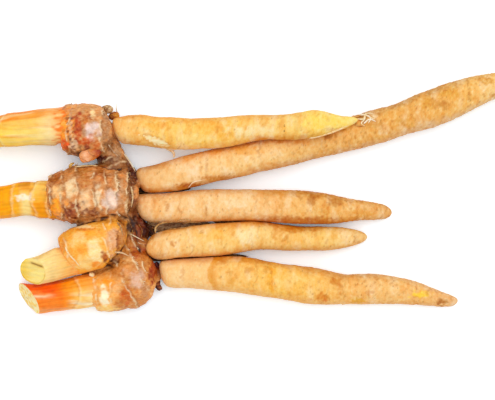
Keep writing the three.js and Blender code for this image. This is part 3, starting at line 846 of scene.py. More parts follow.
def melt(solids, voxel, rounds):
    """Overlapping closed solids as one smooth even net: its points and normals in mm, and faces."""
    points, faces = joined(solids)
    mesh = bpy.data.meshes.new("clay")
    mesh.from_pydata((points * MM).tolist(), [], faces)
    clay = in_scene("clay", mesh)
    remesh = clay.modifiers.new("remesh", "REMESH")
    remesh.mode = "VOXEL"
    remesh.voxel_size = voxel * MM
    round_off = clay.modifiers.new("round_off", "SMOOTH")
    round_off.factor = 0.5
    round_off.iterations = rounds
    net = clay.evaluated_get(bpy.context.evaluated_depsgraph_get()).to_mesh()
    place, normals = vectors(net.vertices, "co") / MM, vectors(net.vertices, "normal")
    net_faces = [list(face.vertices) for face in net.polygons]
    clay.to_mesh_clear()
    bpy.data.objects.remove(clay)
    return place, normals, net_faces


RHIZOME_VOXEL = 0.31  # mm
ROUNDING = 26  # smoothing passes, which round a join over about a millimetre
plain_points, plain_triangles = organ("rhizome")
solids = [(plain_points, plain_triangles.tolist()), *(collar(sp) for sp in shoots.values())]
skin, normal, skin_faces = melt(solids, RHIZOME_VOXEL, ROUNDING)
print("one skin of", len(skin), "points")

# %% [markdown]
# ## The rhizome
#
# Places on the rhizome are given as shares of its box seen from above: 0 to 1 from the shoots to
# the roots, and 0 to 1 from the lowest edge of the view to the highest. Each knob has an axis
# there. A point belongs mostly to the knob whose axis it is nearest to, counted from that knob's
# own surface, and the knobs' finishes blend where they meet.

# %% The knobs' axes
def at(along, across, height=0.5):
    """The point in mm at these shares of the rhizome's box."""
    return in_box("rhizome", along, across, height)


AXES = {
    # name: (one end, other end, radius in mm)
    "upper": (at(0.12, 0.88), at(0.57, 0.86), 9.4),
    "main": (at(0.03, 0.55), at(0.74, 0.56), 9.8),
    "small": (at(0.16, 0.28, 0.57), at(0.62, 0.37, 0.6), 8.2),
    "lower": (at(0.75, 0.33, 0.45), at(0.72, 0.07, 0.42), 8.0),
    "lower_side": (at(0.42, 0.09, 0.38), at(0.76, 0.12, 0.4), 7.4),
    "upper_neck": (at(0.46, 0.84, 0.4), at(0.61, 0.65, 0.4), 5.0),
    "lower_neck": (at(0.76, 0.47, 0.33), at(0.79, 0.35, 0.33), 4.2),
    "web": (at(0.34, 0.21, 0.2), at(0.66, 0.29, 0.2), 2.6),
    "stubs": (at(0.93, 0.68, 0.3), at(0.93, 0.2, 0.3), 2.0),
}


def outside_of(points, start, end, radius):
    """How far points are outside a round limb: their distance to its axis, less its radius."""
    run = end - start
    share = np.clip((points - start) @ run / (run @ run), 0, 1)
    return np.linalg.norm(points - start - share[:, None] * run, axis=1) - radius


BLEND = 0.6  # mm over which one knob's finish gives way to the next one's
gaps = {name: outside_of(skin, *axis) for name, axis in AXES.items()}
nearest = np.min(list(gaps.values()), axis=0)
weights = {name: np.exp((nearest - gap) / BLEND) for name, gap in gaps.items()}
total = sum(weights.values())
belongs = {name: weight / total for name, weight in weights.items()}
print({name: round(100 * float(part.mean())) for name, part in belongs.items()}, "% of the points")

# %% [markdown]
# Each ring is the scar of a leaf that sheathed the knob. The rind swells slowly towards a ring
# and drops behind it, so a saw-toothed wave along the axis makes a knob of overlapping collars.
# On the crest a thin, pale, torn edge is left of the leaf. Where two knobs press against each
# other, a valley with painted shade runs between them: there the skin is as far from one as from the
# other.


# %% Scar rings and valleys
RING_DROP = 0.35  # mm along a knob over which the rind falls off behind a ring


def collars(points, direction, places, seed, wobble):
    """Swell, pale crest and dark foot of rings at `places` mm along a direction.

    Between two rings the swell climbs as the square of the way, and drops within RING_DROP.
    """
    place = points @ np.array(direction)
    place = place + wobble * (ripple(points, 9, seed) + 0.4 * ripple(points, 2.6, seed + 1))
    swell, crest, foot = np.zeros(len(points)), np.zeros(len(points)), np.zeros(len(points))
    edges = np.sort(places)
    for before, here in zip([edges[0] - 5, *edges[:-1]], edges):
        way = np.clip((place - before) / (here - before), 0, 1)
        swell = np.maximum(swell, way**2 * (1 - ease(place, here, here + RING_DROP)))
        crest = np.maximum(crest, bell(place - here + 0.15, 0.32))
        foot = np.maximum(foot, bell(place - here - 0.5, 0.5))
    return swell, crest, foot


def ring_mm(direction, shares):
    """The places of rings, as mm along a direction, from points given as shares of the box."""
    return [float(at(*share) @ np.array(direction)) for share in shares]


def valley(a, b, width):
    """bell(how much nearer one knob is than the other), where both knobs are near."""
    return bell(gaps[a] - gaps[b], width) * ease(-np.maximum(gaps[a], gaps[b]), -3.2, -1.2)


RINGS = {
    # name: (direction along the knob, where its rings cross the middle line, wobble)
    "upper": ((1, 0, 0.1), [(0.205, 0.87), (0.5, 0.87)], 0.4),
    "main": ((1, 0.04, 0), [(0.03, 0.56), (0.14, 0.56), (0.27, 0.56), (0.42, 0.56), (0.53, 0.56),
                            (0.62, 0.56), (0.71, 0.56)], 0.35),
    "small": ((0.94, 0.34, 0), [(0.2, 0.28), (0.52, 0.33), (0.565, 0.34), (0.62, 0.35)], 0.3),
    "lower": ((0.88, 0.47, 0), [(0.66, 0.177), (0.745, 0.26), (0.915, 0.163)], 0.4),
    "lower_side": ((1, 0.1, 0), [(0.43, 0.09), (0.57, 0.1), (0.67, 0.1)], 0.35),
    "upper_neck": ((0.35, -0.94, 0), [(0.5, 0.78), (0.54, 0.73), (0.58, 0.69)], 0.25),
}
DEPTH = {  # mm from a ring's foot to its crest
    "upper": 0.24, "main": 0.42, "small": 0.16, "lower": 0.24, "lower_side": 0.2, "upper_neck": 0.24,
}
swell, crest, foot = np.zeros(len(skin)), np.zeros(len(skin)), np.zeros(len(skin))
for number, (name, (direction, shares, wobble)) in enumerate(RINGS.items()):
    parts = collars(skin, direction, ring_mm(direction, shares), 70 + 2 * number, wobble)
    swell += (parts[0] - 0.4) * belongs[name] * DEPTH[name]
    crest += parts[1] * belongs[name]
    foot += parts[2] * belongs[name]
PRESSED = [
    # two knobs that press on each other, and the half width in mm of the valley between them
    ("main", "small", 1.0), ("small", "lower", 1.1), ("small", "lower_side", 1.0),
    ("small", "web", 0.8), ("upper_neck", "main", 0.6), ("lower_neck", "small", 0.9),
]
pressed = np.max([valley(*pair) for pair in PRESSED], axis=0)
shaded = np.max([valley(a, b, 2.4 * width) for a, b, width in PRESSED], axis=0)
print("torn crests cover", round(100 * float((crest > 0.5).mean())), "% of the rind")

# %% Warts, wrinkles and the push along the normal
CREST, WART, WRINKLE, VALLEY = 0.12, 0.34, 0.05, 0.8  # mm of relief at their strongest
LUMP, PIT = 0.12, 0.09  # mm of broad and of fine unevenness
ROUGHNESS = {"upper": 1.0, "main": 1.0, "small": 0.3, "lower": 0.6, "lower_side": 0.4,
             "upper_neck": 1.1, "lower_neck": 1.2, "web": 0.6, "stubs": 1.0}
coarse = sum(belongs[name] * amount for name, amount in ROUGHNESS.items())
broken = ease(ripple(skin, 3.6, 81), -0.5, 0.9)
warty = stain(skin, *at(0.22, 0.84)[:2], 2.0, 8, 0.3, 82)
warty = np.clip(warty + stain(skin, *at(0.24, 0.49)[:2], 3.2, 3.6, 0.3, 83), 0, 1)
knots = ripple(skin, 1.7, 84)
wart = ease(knots, 0.5, 1.5) * np.maximum(warty, 0.25 * coarse)
wrinkle = ripple(skin * (0.3, 1, 1), 1.5, 85)
push = swell + CREST * crest * broken + WART * wart + WRINKLE * coarse * wrinkle - VALLEY * pressed
push += LUMP * coarse * ripple(skin, 7, 86) + PIT * coarse * rough(skin, 2.2, 87)
skin = skin + normal * push[:, None]

# %% [markdown]
# The rind's colours are laid on like thin paint: first each knob's colour, then soft patches
# where the rind is stained, worn or fresh, with a few painted highlights and painted shadows among
# them, and last the pale crests, the dark feet of the rings, which are partly painted shade, and
# painted shade in the valleys and on the undersides.

# %% Paint the rind
# the lower neck is dark brown tissue; the dark colours of the web and the stubs are painted shade in the
# crevices where they sit
KNOB_COLOURS = {
    "upper": "#d89e66", "main": "#da9a60", "small": "#fcba54", "lower": "#d89450",
    "lower_side": "#f8b868", "upper_neck": "#a5744a", "lower_neck": "#6a2e0a", "web": "#6a2c08",
    "stubs": "#7e3c12",
}
PATCHES = [
    # share along, share across, half length and half width in mm, colour, strength
    # upper knob, from its fresh orange foot to its dry right side
    (0.17, 0.87, 2.7, 7.0, "#ffa840", 1.0), (0.16, 0.965, 2.0, 1.8, "#dc8840", 0.8),
    (0.165, 0.80, 1.6, 2.4, "#e8621c", 0.8), (0.165, 0.765, 1.6, 1.0, "#b4703c", 0.8),
    (0.215, 0.87, 0.8, 6.4, "#dcae8a", 0.7),
    (0.275, 0.885, 1.4, 5.0, "#c86000", 1.0), (0.345, 0.90, 1.2, 3.0, "#c87a2e", 0.8),
    (0.38, 0.93, 2.6, 1.5, "#b8601a", 0.7), (0.31, 0.985, 5.5, 1.6, "#e6a866", 0.8),
    # the pinkish-white patch at 0.415, 0.86 is a painted highlight; the pale streak at 0.41, 0.945 is
    # partly a peeled flake and partly a painted highlight
    (0.41, 0.945, 1.1, 1.9, "#f6d8a4", 0.85), (0.415, 0.86, 2.5, 2.7, "#eed6cc", 0.95),
    (0.34, 0.855, 1.2, 1.6, "#c79a7e", 0.7), (0.53, 0.88, 1.3, 5.6, "#c09068", 0.75),
    (0.36, 0.81, 3.0, 2.0, "#d06808", 0.9), (0.45, 0.79, 1.4, 2.2, "#c0641a", 0.7),
    # the dark patches at 0.38, 0.74 and 0.295, 0.735 are painted shadow under and beside the bud, and the
    # one at 0.48, 0.735 is painted shade in a crease
    (0.24, 0.80, 1.7, 2.4, "#e6c6a4", 0.75), (0.38, 0.74, 5.0, 3.0, "#6e2c0a", 0.85),
    (0.295, 0.735, 1.6, 2.6, "#3c1e08", 0.85), (0.48, 0.735, 2.6, 0.9, "#6a3010", 0.9),
    # neck
    (0.56, 0.79, 2.0, 3.0, "#8e6242", 0.7), (0.62, 0.76, 1.2, 4.4, "#b08c6c", 0.7),
    # the dark patches at 0.73, 0.62 and 0.755, 0.67 are dark tissue with painted shade in the hollow
    # where the neck, the main knob and the root bases meet
    (0.55, 0.72, 2.2, 1.2, "#7a4c2a", 0.7), (0.73, 0.62, 1.0, 4.4, "#5a280a", 0.8),
    (0.755, 0.67, 2.4, 3.8, "#5e2c0c", 0.9),
    # main knob
    (0.085, 0.64, 2.3, 2.1, "#b0661c", 0.9), (0.09, 0.575, 2.6, 2.6, "#fdd094", 0.85),
    (0.08, 0.50, 3.0, 3.4, "#fdaa30", 0.95), (0.03, 0.54, 0.6, 6.0, "#a8641c", 0.7),
    (0.22, 0.595, 2.3, 3.2, "#f9dbae", 0.85), (0.19, 0.51, 1.2, 2.2, "#eeaa58", 0.7),
    (0.23, 0.475, 2.8, 2.8, "#9a4814", 0.75), (0.35, 0.53, 2.0, 4.6, "#f4cea0", 0.8),
    (0.34, 0.63, 2.1, 3.4, "#cc843a", 0.75), (0.46, 0.545, 1.3, 5.0, "#f9e2bc", 0.8),
    (0.49, 0.66, 2.6, 2.8, "#bd6e22", 0.85), (0.58, 0.65, 1.6, 3.0, "#c0824c", 0.7),
    # the pale pinkish patch at 0.57, 0.53 is a painted highlight
    (0.28, 0.68, 4.6, 1.4, "#c6843e", 0.65), (0.57, 0.53, 3.4, 3.8, "#f2d8c6", 0.95),
    (0.66, 0.585, 1.5, 3.0, "#d6ac84", 0.6), (0.72, 0.55, 1.3, 6.4, "#b8824e", 0.75),
    # the dark band at 0.40, 0.475 is painted shade along the knob's lower side, and the dark strip at
    # 0.76, 0.50 is painted shade where the root bases press on its right end
    (0.40, 0.475, 4.0, 1.3, "#84420f", 0.75), (0.68, 0.455, 2.8, 1.4, "#c8a078", 0.6),
    (0.76, 0.50, 1.6, 6.0, "#6a3410", 0.7),
    # small knob
    (0.32, 0.41, 4.4, 0.7, "#fde0ac", 0.8), (0.34, 0.397, 4.4, 0.5, "#d9721a", 0.7),
    (0.37, 0.38, 3.8, 1.6, "#fdb23c", 0.8), (0.28, 0.345, 2.6, 2.6, "#fee2a8", 0.5),
    (0.33, 0.30, 3.0, 1.0, "#fba93a", 0.6), (0.15, 0.325, 1.4, 2.4, "#d88a3e", 0.8),
    (0.44, 0.30, 2.8, 4.4, "#ffedb8", 0.75), (0.34, 0.24, 3.0, 2.4, "#fde0a0", 0.6),
    (0.44, 0.235, 1.9, 1.3, "#f49a2c", 0.8), (0.585, 0.35, 2.2, 5.4, "#ecb88c", 0.95),
    (0.63, 0.34, 0.7, 4.4, "#9a5620", 0.85), (0.665, 0.37, 1.5, 4.6, "#c98b58", 0.9),
    (0.52, 0.265, 1.3, 2.0, "#b8601c", 0.8), (0.11, 0.29, 1.6, 2.4, "#fba24a", 0.8),
    (0.20, 0.24, 2.4, 2.6, "#fdba70", 0.7), (0.17, 0.21, 1.8, 1.4, "#f69e58", 0.6),
    # lower knob and its fresh side
    (0.68, 0.31, 2.6, 2.0, "#dc9440", 0.8), (0.79, 0.285, 2.8, 3.0, "#b86010", 0.9),
    # the dark patch at 0.59, 0.245 is painted shade in a crease
    (0.72, 0.255, 2.2, 1.2, "#e8bc84", 0.7), (0.59, 0.245, 2.6, 1.1, "#5a260a", 0.8),
    # the pinkish patch at 0.78, 0.17 is a painted highlight
    (0.78, 0.17, 3.2, 3.0, "#e8c2aa", 0.9), (0.70, 0.20, 2.2, 2.0, "#e8a460", 0.7),
    (0.86, 0.11, 2.6, 2.8, "#cc966e", 0.7), (0.925, 0.20, 1.3, 4.6, "#b05000", 0.95),
    (0.70, 0.085, 2.4, 3.0, "#d8761c", 0.9), (0.62, 0.13, 1.8, 3.0, "#f8c284", 0.7),
    (0.545, 0.145, 3.2, 1.5, "#fdaa36", 0.85), (0.515, 0.07, 1.8, 4.4, "#fff4d2", 0.95),
    (0.57, 0.06, 1.0, 3.4, "#fdc278", 0.7), (0.52, 0.02, 5.0, 1.0, "#ffd27c", 0.85),
    # the dark hollow behind the knobs: brown tissue, and painted shade in its deepest crevice
    (0.74, 0.415, 1.8, 2.6, "#2e1004", 0.95), (0.80, 0.375, 2.6, 3.6, "#8a4008", 0.85),
    (0.87, 0.39, 2.2, 4.4, "#4e2208", 0.9),
]
tint = sum(belongs[name][:, None] * pigment(colour) for name, colour in KNOB_COLOURS.items())
for number, (along, across, half_x, half_y, colour, strength) in enumerate(PATCHES):
    x, y = at(along, across)[:2]
    tint = paint(tint, colour, strength * stain(skin, x, y, half_x, half_y, 0.22, 120 + number))
streak = ripple(skin * (0.25, 1, 1), 2.4, 90)
tint = tint * (1 + 0.06 * coarse * streak + 0.1 * coarse * rough(skin, 3.2, 91))[:, None]
tint = paint(tint, "#fbe4bc", 0.85 * crest * broken)
# the dark feet of the rings are partly the rind's own colour and partly painted shade under each ring's
# edge
tint = paint(tint, "#7a4818", 0.4 * foot * (0.4 + 0.6 * broken) * coarse)
tint = paint(tint, "#f0cfa4", 0.6 * wart)
# painted shade in the hollows between the warts
tint = paint(tint, "#6e2e0c", 0.6 * warty * ease(-knots, 0.2, 1.2))
uneven = 0.75 + 0.2 * ripple(skin, 2.5, 92)
# painted shade in the valleys between knobs that press on each other: soft and wide, then dark in the
# deepest line
tint = paint(tint, "#98581e", 0.55 * shaded * uneven)
tint = paint(tint, "#3c1e08", 0.85 * ease(pressed * uneven, 0.3, 0.95))
# painted shade on the rind's undersides, where it faces the table
tint = paint(tint, "#5a2c10", 0.45 * ease(-normal[:, 2], 0.3, 1.0))
tint = 1.06 * tint**1.2  # deepens the mixed paints, which have turned a little chalky
make_piece("rhizome_skin", skin, skin_faces, tint, skin, rind, ["rhizome"])

# %% [markdown]
# ## The shoots
#
# From outside a shoot shows long fibres, and steps where one leaf sheath ends over the next. Each
# spoke of the sweep stops where it meets the blade's plane, and rings fill the sliced face. A face
# sliced straight across shows the rolled sheaths as rings, and a slanting one shows torn fibres.


# %% How a shoot is dressed
SHOOT_SPOKES, SHOOT_RINGS, FACE_RINGS = 120, 120, 34
CUT_STEPS = 500  # places along a spoke at which it is asked whether the blade took it


def dress_shoot(name, colour_of, face_colour, steps, seed, ringed=1.0):
    """Sweeps one shoot, cuts it, and fills the cut face.

    colour_of(points, share) gives its colour, share running from 0 at the cut to 1 at the knob.
    face_colour(points, inward, groove) gives the cut face's, inward running from 1 at the rim to
    0 in the middle, and groove being 1 in the seams between the rolled layers.
    steps are (share, height in mm, bow in mm) where an outer sheath ends, bowed at its two edges.
    ringed is how deep the rolled layers show in the face.
    """
    sp = shoots[name]
    middle, facing, root_end = sp["middle"], sp["facing"], sp["x"][-1]
    spokes = full_turn(SHOOT_SPOKES)
    far, around = swept(np.linspace(sp["x"][0], root_end, CUT_STEPS), SHOOT_SPOKES)
    cut_off = (on_spindle(sp, far, around) - middle) @ facing > 0
    cut_x = far[:, 0][np.argmin(cut_off, axis=0)]
    cut_x = smoothed(np.tile(cut_x, 3), 2)[SHOOT_SPOKES : 2 * SHOOT_SPOKES]

    part = np.linspace(0, 1, SHOOT_RINGS)[:, None]
    x = cut_x + part * (root_end - cut_x)
    angle = np.broadcast_to(spokes, x.shape)
    bare = on_spindle(sp, x, angle)
    share = (x - cut_x.min()) / (sp["knob"] - cut_x.min())
    half = np.sqrt(np.interp(x, sp["x"], sp["width2"]))
    grain = np.stack([x - root_end, half * np.cos(angle), half * np.sin(angle)], axis=-1)
    rib = ripple(grain * (0.03, 1, 1), 1.6, seed)
    relief = 0.05 * rib + 0.1 * ripple(bare, 9, seed + 1)
    tint = colour_of(bare, share)
    for where, height, bow in steps:
        edge = cut_x.min() + where * (sp["knob"] - cut_x.min()) + bow * np.cos(angle) ** 2
        edge = edge + 0.25 * ripple(bare, 5, seed + 2) + 0.1 * ripple(bare, 1.5, seed + 3)
        relief = relief + height * (ease(x, edge - 0.2, edge + 0.3) - 0.5) * bell(x - edge, 7)
        # a darker ochre line at the foot of each step is painted shade under the sheath's end, and a pale
        # line lies on the sheath's edge
        tint = paint(tint, "#c9780f", 0.28 * bell(x - edge + 0.3, 0.5))
        tint = paint(tint, "#ffeebc", 0.3 * bell(x - edge - 0.5, 0.5))
    tint = tint * (1 + 0.04 * rib + 0.03 * ripple(bare, 3, seed + 4))[..., None]
    wall = on_spindle(sp, x, angle, relief)

    rim = wall[0]
    centre = rim.mean(axis=0)
    inward = np.linspace(1, 0, FACE_RINGS + 2)[1:-1, None]
    swirl = inward + 0.12 * spokes / (2 * np.pi) + 0.03 * ripple(rim, 5, seed + 6)
    groove = 0.5 - 0.5 * np.cos(8 * np.pi * swirl)
    spread = centre + (rim - centre) * inward[..., None]
    fibre = ripple(spread * (0.12, 1, 0.12), 1.6, seed + 5)
    sink = (0.1 + 0.3 * ringed * groove**4 + 0.06 * fibre) * ease(1 - inward, 0, 0.12)
    face = rim + (centre - rim) * (1 - inward[..., None]) - sink[..., None] * facing
    flesh = face_colour(face, inward + 0 * groove, ringed * groove)
    flesh = flesh * (1 + 0.04 * fibre)[..., None]

    knob_pole = (root_end, sp["y"][-1], sp["z"][-1])
    points = closed(np.concatenate([face[::-1], wall]), [centre - 0.2 * facing, knob_pole])
    tint = closed(np.concatenate([flesh[::-1], tint]), [flesh[-1, 0], tint[-1, 0]])
    face_grain = grain[0] * np.stack([inward**0, inward, inward], axis=-1)
    ends = [(grain[0, :, 0].mean(), 0, 0), (0, 0, 0)]
    grain = closed(np.concatenate([face_grain[::-1], grain]), ends)
    faces = grid_faces(FACE_RINGS + SHOOT_RINGS, SHOOT_SPOKES)
    make_piece(name + "_skin", points, faces, tint, grain, leaf_sheath, [name])


# %% The upper shoot
def across_organ(points, name):
    """0 to 1 across an organ's box, from the lowest edge of the view to the highest."""
    low, high = boxes[name]
    return (points[..., 1] - low[1]) / (high[1] - low[1])


def upper_colour(points, share):
    """Yellow below, peach above, paler near the knob, and orange in the fresh tissue there."""
    low_side = bands(share, [(0, "#ffca44"), (0.3, "#ffd862"), (0.7, "#ffda78"), (0.85, "#ffe2a0"),
                             (1, "#fdb45c")])
    top_side = bands(share, [(0, "#f28024"), (0.35, "#f88a2e"), (0.7, "#fb9e42"), (0.85, "#fdba70"),
                             (1, "#fb9c44")])
    up = across_organ(points, "shoot_upper") + 0.05 * ripple(points * (0.1, 1, 1), 3, 8)
    colour = low_side + (top_side - low_side) * ease(up, 0.4, 0.9)[..., None]
    long = points * (0.06, 1, 1)
    colour = paint(colour, "#fa962c", 0.45 * ease(ripple(long, 1.8, 12), 0.6, 1.8))
    colour = paint(colour, "#ffe9a8", 0.4 * ease(ripple(long, 2.2, 14), 0.6, 1.7))
    fresh = ease(share + 0.05 * ripple(points * (0.3, 1, 1), 1.2, 15), 0.9, 1.02)
    return paint(colour, "#f97a22", 0.85 * fresh)


def layered_face(points, inward, groove):
    """Pale layers with deeper seams between them, and a yellow core."""
    flesh = paint(np.broadcast_to(pigment("#fdeec0"), points.shape), "#eeb050", 0.7 * groove**3)
    return paint(flesh, "#fbd870", 0.8 * (1 - ease(inward, 0.1, 0.5)))


dress_shoot("shoot_upper", upper_colour, layered_face, [(0.28, 0.18, 2.5)], 201)


# %% The main shoot, with three sheath ends
def main_colour(points, share):
    """Deep orange at the far end, pale yellow in the middle, and stained orange at the knob."""
    colour = bands(share, [(0, "#f8a01c"), (0.3, "#fda41c"), (0.45, "#ffac26"), (0.57, "#feb63a"),
                           (0.64, "#ffdc88"), (0.71, "#ffdc88"), (0.76, "#fcbc44"), (1, "#f8b03c")])
    up = across_organ(points, "shoot_main")
    colour = paint(colour, "#fbb240", 0.8 * ease(share, 0.58, 0.64) * ease(up, 0.55, 0.75))
    near_knob = ease(share, 0.72, 0.78)
    colour = paint(colour, "#fba20c", 0.9 * near_knob * ease(-up, -0.55, -0.35))
    colour = paint(colour, "#ffd672", 0.7 * near_knob * ease(up, 0.55, 0.8))
    torn_edge = ease(share, 0.54, 0.58) * ease(-share, -0.74, -0.7) * ease(up, 0.76, 0.88)
    colour = paint(colour, "#dc8a1c", 0.8 * torn_edge)
    colour = paint(colour, "#b8640c", 0.5 * ease(share, 0.96, 1.0))
    long = points * (0.1, 1, 1)
    colour = paint(colour, "#f2920c", 0.35 * ease(ripple(long, 2, 16), 0.5, 1.6))
    # a painted highlight: a whitish spot on the pale middle, a little above its centre line
    x = points[..., 0].min() + 0.57 * np.ptp(points[..., 0])
    return paint(colour, "#fff4dc", 0.8 * stain(points, x, points[..., 1].mean() + 1, 3.0, 1.4, 0.3, 6))


dress_shoot("shoot_main", main_colour, layered_face,
            [(0.47, 0.15, 0.6), (0.74, 0.45, 1.6), (0.93, 0.3, 0.6)], 211)


# %% The small shoot, pale straw, sliced at a slant
def small_colour(points, share):
    """Pale straw yellow, with an orange blush where it leaves the knob."""
    colour = bands(share, [(0, "#fddd78"), (0.3, "#ffe196"), (0.6, "#ffd78c"), (0.8, "#fcc06c"),
                           (1, "#fa9f50")])
    up = across_organ(points, "shoot_small")
    colour = paint(colour, "#f6943c", 0.85 * ease(share, 0.66, 0.95) * ease(up, 0.5, 0.9))
    long = points * (0.1, 1, 1)
    return paint(colour, "#f2c878", 0.5 * ease(ripple(long, 1.5, 17), 0.5, 1.6))


def fibrous_face(points, inward, groove):
    """A straw face of long fibres, yellow far out, creased above and ochre along its lower edge."""
    flesh = np.broadcast_to(pigment("#ffe58c"), points.shape)
    fibre = ripple(points * (0.1, 1, 0.1), 1.5, 18)
    flesh = paint(flesh, "#fbd568", 0.6 * ease(fibre, -0.2, 1.4))
    up = across_organ(points, "shoot_small")
    low, high = points[..., 0].min(), points[..., 0].max()
    along = (points[..., 0] - low) / (high - low)
    flesh = paint(flesh, "#f8ca40", 0.65 * ease(-along, -0.5, -0.1))
    flesh = paint(flesh, "#e0a030", 0.6 * bell(inward - 0.94, 0.05) * ease(-up, -0.4, -0.2))
    line = up - 0.66 + 0.22 * along
    flesh = paint(flesh, "#ffe394", 0.8 * ease(line, 0.02, 0.08))
    # the dark line and the wider ochre band along it are painted shade of a crease in the fibres
    crease = bell(line, 0.024) * ease(along, 0.38, 0.5) * ease(-along, -0.95, -0.85)
    flesh = paint(flesh, "#dca040", 0.4 * bell(line, 0.05) * ease(along, 0.2, 0.5))
    return paint(flesh, "#8a5614", 0.8 * crease)


dress_shoot("shoot_small", small_colour, fibrous_face, [], 221, ringed=0.15)


# %% The lower shoot, vivid orange-red at the cut
def lower_colour(points, share):
    """Orange-red near the cut, fading to straw yellow, paler below, with one pale vein along it."""
    colour = bands(share, [(0, "#fbb070"), (0.04, "#fb8030"), (0.08, "#fa6306"), (0.42, "#fa6306"),
                           (0.56, "#fb7612"), (0.68, "#fd9c34"), (0.8, "#ffc262"), (1, "#ffd794")])
    up = across_organ(points, "shoot_lower")
    colour = paint(colour, "#ffe4b0", 0.9 * ease(-up, -0.2, -0.06))
    lit = ease(-up, -0.6, -0.3) * ease(share, 0.05, 0.1) * ease(-share, -0.7, -0.5)
    colour = paint(colour, "#fc8e38", 0.8 * lit)
    vein = bell(up - 0.42 - 0.12 * share + 0.01 * ripple(points, 4, 9), 0.04)
    colour = paint(colour, "#fdd6a8", 0.85 * vein * ease(share, 0.08, 0.16) * ease(-share, -0.55, -0.35))
    long = points * (0.05, 1, 1)
    flame = ease(ripple(long, 1.6, 13), 0.5, 1.5) * ease(-share, -0.6, -0.3)
    colour = paint(colour, "#fc9a4a", 0.4 * flame)
    pale = ease(ripple(long, 1.8, 19), 0.2, 1.2) * ease(share, 0.62, 0.8) * ease(-up, -0.6, -0.4)
    colour = paint(colour, "#fff0cc", 0.7 * pale)
    return paint(colour, "#fb9e2e", 0.8 * ease(share, 0.5, 0.66) * ease(up, 0.5, 0.75))


def mottled_face(points, inward, groove):
    """Pale cream with yellow blots, torn and reddish along its upper edge."""
    flesh = np.broadcast_to(pigment("#ffe8a8"), points.shape)
    flesh = paint(flesh, "#fbc850", 0.8 * ease(ripple(points, 2.2, 20), -0.2, 1.0))
    up = across_organ(points, "shoot_lower")
    return paint(flesh, "#f58a4c", 0.75 * ease(up, 0.72, 0.9))


dress_shoot("shoot_lower", lower_colour, mottled_face, [(0.82, 0.18, -3)], 231, ringed=0.1)

# %% [markdown]
# ## Buds and nubs
#
# A bud is a little egg of tight scales, and a nub is a dry one that never opened. Each is swept
# along the line from its base to its tip, both given as shares of its own box. Its radius grows
# quickly from the base and falls slowly to the tip, as the square root of t times a power of 1 - t.


# %% Dress the buds
BUD_RINGS, BUD_SPOKES = 70, 60
SQUASH = 0.9  # a bud is a little flatter than it is wide


def dress_bud(name, base, tip, girth, point, scales, colours, material, seed):
    """Sweeps one bud: radius = girth * t^0.5 * (1 - t)^point over its greatest, plus the scales.

    scales is how many scales overlap along it, each climbing as the square of the way.
    """
    start, end = in_box(name, *base), in_box(name, *tip)
    ahead = (end - start) / np.linalg.norm(end - start)
    side = np.cross((0, 0, 1), ahead)
    side /= np.linalg.norm(side)
    up = np.cross(ahead, side)
    t, angle = swept(0.5 - 0.5 * np.cos(np.linspace(0.08, np.pi - 0.08, BUD_RINGS)), BUD_SPOKES)
    egg = np.sqrt(t) * (1 - t) ** point
    radius = girth * egg / egg.max()
    way = (scales * t + 0.22 * np.cos(2 * angle + seed) + 0.1 * np.cos(angle)) % 1
    axis = start + t[..., None] * (end - start)
    sideways, upwards = side * np.cos(angle)[..., None], up * np.sin(angle)[..., None]
    rough_place = axis + radius[..., None] * (sideways + upwards)
    scale = way**2 * (1 - ease(way, 0.9, 1.0)) * np.minimum(radius / girth, 1)
    radius = radius + 0.06 * girth * scale + 0.03 * girth * ripple(rough_place, girth, seed)
    points = axis + radius[..., None] * (sideways + SQUASH * upwards)
    tint = bands(t, colours) * (1 + 0.06 * ripple(rough_place, girth * 0.8, seed + 1))[..., None]
    tint = paint(tint, "#6a2c0a", 0.55 * bell(way - 0.97, 0.06))
    points, tint = closed(points, axis[[0, -1], 0]), closed(tint, tint[[0, -1], 0])
    make_piece(name + "_skin", points, grid_faces(*t.shape), tint, points, material, [name])


# the pale pinkish band three quarters of the way to the tip is a painted highlight
dress_bud("bud_red", (1.0, 0.85, 0.35), (0.0, 0.2, 0.6), 2.35, 0.36, 2.2,
          [(0, "#9a3e06"), (0.25, "#bc5608"), (0.5, "#e08844"), (0.75, "#f4b080"), (1, "#e88a40")],
          bud_skin, 301)
dress_bud("bud_edge_near", (0.0, 0.55, 0.3), (1.0, 0.5, 0.6), 1.5, 0.4, 1.6,
          [(0, "#7a4a22"), (0.4, "#b98c5c"), (1, "#cfa878")], dry_scale, 303)
dress_bud("bud_edge_far", (0.0, 0.35, 0.4), (1.0, 0.6, 0.5), 1.5, 0.4, 1.6,
          [(0, "#5e2e0c"), (0.5, "#b46c1e"), (1, "#d98e30")], dry_scale, 305)
dress_bud("bud_pale", (0.7, 1.0, 0.6), (0.45, 0.0, 0.4), 1.0, 0.35, 1.2,
          [(0, "#fcd08a"), (1, "#fff3cf")], pale_flesh, 307)

# %% [markdown]
# ## Scraps, hairs and rootlets
#
# Torn sheath edges, hairs and withered rootlets are what makes a freshly dug root look real. Each
# is a thin band carried along a smooth path: wide and flat for a papery scrap, round for a hair.
# All scraps of one kind are joined in one piece. A few dark husks and one dark rootlet lie in
# the gaps between the roots, as painted shade.


# %% A strand along a path
def smooth_path(points, count):
    """A Catmull-Rom curve through the points: cubics that meet with the slopes of the chords."""
    points = np.asarray(points, float)
    padded = np.vstack([2 * points[0] - points[1], points, 2 * points[-1] - points[-2]])
    place = np.linspace(0, len(points) - 1, count)
    piece = np.minimum(place.astype(int), len(points) - 2)
    w = (place - piece)[:, None]
    p0, p1, p2, p3 = (padded[piece + k] for k in range(4))
    return 0.5 * (
        2 * p1 + (p2 - p0) * w + (2 * p0 - 5 * p1 + 4 * p2 - p3) * w**2
        + (3 * p1 - p0 - 3 * p2 + p3) * w**3
    )


